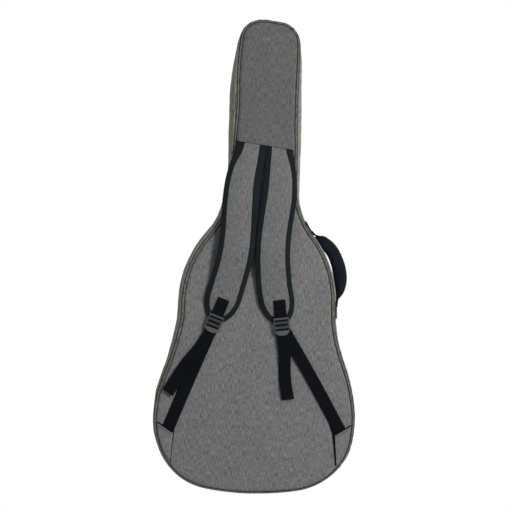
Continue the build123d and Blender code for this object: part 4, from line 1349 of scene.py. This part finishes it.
bridge = cushion(
    "bridge_pad_cover", upper_loop("bridge_pad"), 0.007, FLOOR_Z + 0.0002,
    lambda x, y, gap, at: FLOOR_Z + 0.0016 + 0.0036 * dome(gap, 0.014, SOFT_DOME)
    + swell(x, y, 0.0003, 0.06, 93),
    [LINING], rings=(0.001, 0.003, 0.006),
)
put(bridge, "front_shell", "lining", "bridge_pad", fill=0.8)

END_PAD_INSET = 0.0155         # middle of the end pad, inside the gusset
lo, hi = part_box("end_pad")
inner_line = rim(END_PAD_INSET)[(np.abs(RIM[:, 0]) < hi.x - 0.001) & (RIM[:, 1] < 0)]
inner_line = resample(inner_line[np.argsort(inner_line[:, 0])], count=40)
end_pad = ribbon(
    "end_pad_cover", at_height(inner_line, (lo.z + hi.z) / 2), UP, (hi.z - lo.z) / 2 - 0.0005, 0.0088,
    LINING, edge=0.0028, lanes=9,
)
put(end_pad, "back_shell", "lining", "end_pad", fill=0.8)

lo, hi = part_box("neck_rest")
CRADLE, CRADLE_DEPTH = 0.0265, 0.0235                       # half width and depth of the neck's hollow
hollow_x = CRADLE * np.cos(math.pi * (1 - np.linspace(0, 1, 25)))
hollow_z = lo.z + CRADLE_DEPTH * np.sqrt(np.clip(1 - (hollow_x / 0.0272) ** 2, 0, 1))
section = [
    (-CRADLE, lo.z), *zip(hollow_x[1:-1], hollow_z[1:-1]), (CRADLE, lo.z),
    (hi.x, lo.z), (hi.x, hi.z), (lo.x, hi.z), (lo.x, lo.z),
]
section = blur(resample(section, spacing=0.003, closed=True), 3)


def upright(verts):
    """From the rest's section, drawn across the bag and up, to its place along the bag."""
    return np.stack([verts[:, 0], (hi.y + lo.y) / 2 - verts[:, 2], verts[:, 1]], 1)


half_rest = (hi.y - lo.y) / 2
rest = cushion(
    "neck_rest_cover", section, 0.005,
    lambda x, y, gap, at: -half_rest + edge_drop(gap, 0.0042, 0.008),
    lambda x, y, gap, at: half_rest - edge_drop(gap, 0.0042, 0.008),
    [LINING], rings=(0.001, 0.003, 0.006), side=8, flip=upright,
)
put(rest, "back_shell", "lining", "neck_rest", fill=0.9)

lo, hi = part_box("neck_strap")
x = np.linspace(lo.x, hi.x, 30)
z = (lo.z + hi.z) / 2 - 0.0002 + 0.0003 * np.cos(2 * math.pi * x / (hi.x - lo.x))
line = np.column_stack([x, np.full(30, (lo.y + hi.y) / 2), z])
band = ribbon("neck_strap_band", line, (0, 1, 0), (hi.y - lo.y) / 2, 0.0014, WEBBING)
put(band, body_of(frame["nodes"]["neck_strap"])[0], "webbing", "neck_strap")

# ======== moulded and metal parts kept from the CAD model ========
for name, node in frame["nodes"].items():
    if not node.hide_render:
        node.data.materials.clear()
        node.data.materials.append(PLASTIC if name.startswith("buckle") else METAL)

# ======== floor, light and camera ========
FLOOR_HALF = 8
FLOOR_GAP = 0.002              # under the bag
floor_mesh = bpy.data.meshes.new("floor")
corners = [(FLOOR_HALF * x, FLOOR_HALF * y, 0) for x, y in ((-1, -1), (1, -1), (1, 1), (-1, 1))]
floor_mesh.from_pydata(corners, [], [(0, 1, 2, 3)])
floor = shown("floor", floor_mesh)
floor.location.z = cad_bounds[0].z - FLOOR_GAP

paper = bpy.data.materials.new("white_paper")
tree = Tree(paper)
shader = tree.nodes["Principled BSDF"]
shader.inputs["Base Color"].default_value = (0.93, 0.93, 0.93, 1)
shader.inputs["Roughness"].default_value = 0.9
glow = tree.node("Emission", {"Color": (1, 1, 1, 1), "Strength": 1.0})
either = tree.node("MixShader", {0: tree.seen_directly(), 1: shader.outputs[0], 2: glow})
tree.set(tree.nodes["Material Output"].inputs["Surface"], either)
floor_mesh.materials.append(paper)

WORLD_STRENGTH = 0.37          # of the light on the object; what is seen directly is white
world = bpy.context.scene.world or bpy.data.worlds.new("studio")
bpy.context.scene.world = world
tree = Tree(world)
background = tree.nodes["Background"].inputs
background["Color"].default_value = (1, 1, 1, 1)
strength = tree.math("MULTIPLY_ADD", tree.seen_directly(), 1 - WORLD_STRENGTH, WORLD_STRENGTH)
tree.set(background["Strength"], strength)

for name, at, size, power in (("key", (1.35, 0.9, 2.3), 0.8, 70), ("fill", (-1.8, -0.6, 2.2), 2.0, 4)):
    data = bpy.data.lights.new(name, "AREA")
    data.shape = "RECTANGLE"
    data.size = data.size_y = size
    data.energy = power
    lamp = shown(name, data)
    lamp.location = at
    lamp.rotation_euler = (Vector((0, 0, 0.1)) - Vector(at)).to_track_quat("-Z", "Y").to_euler()

SENSOR = 36
VIEW_DISTANCE = 3.0
VIEW_WIDTH = 1.174             # seen across the picture at that distance
CAMERA_ROLL = math.radians(2.33)
CAMERA_SIDE = -0.21            # it looks from a little to the bag's left
camera_data = bpy.data.cameras.new("camera")
camera_data.sensor_fit = "HORIZONTAL"
camera_data.sensor_width = SENSOR
camera_data.lens = SENSOR * VIEW_DISTANCE / VIEW_WIDTH
camera_data.clip_end = 50
camera = shown("camera", camera_data)
aim = Vector((-0.0126, 0.0012, BACK_Z))
camera.location = aim + Vector((CAMERA_SIDE, 0, VIEW_DISTANCE))
back_axis = (camera.location - aim).normalized()
right_axis = Vector((math.cos(CAMERA_ROLL), math.sin(CAMERA_ROLL), 0))
right_axis = (right_axis - back_axis * right_axis.dot(back_axis)).normalized()
axes = Matrix((right_axis, back_axis.cross(right_axis), back_axis)).transposed().to_4x4()
camera.matrix_world = Matrix.Translation(camera.location) @ axes
bpy.context.scene.camera = camera
bpy.context.scene.view_settings.view_transform = "Standard"
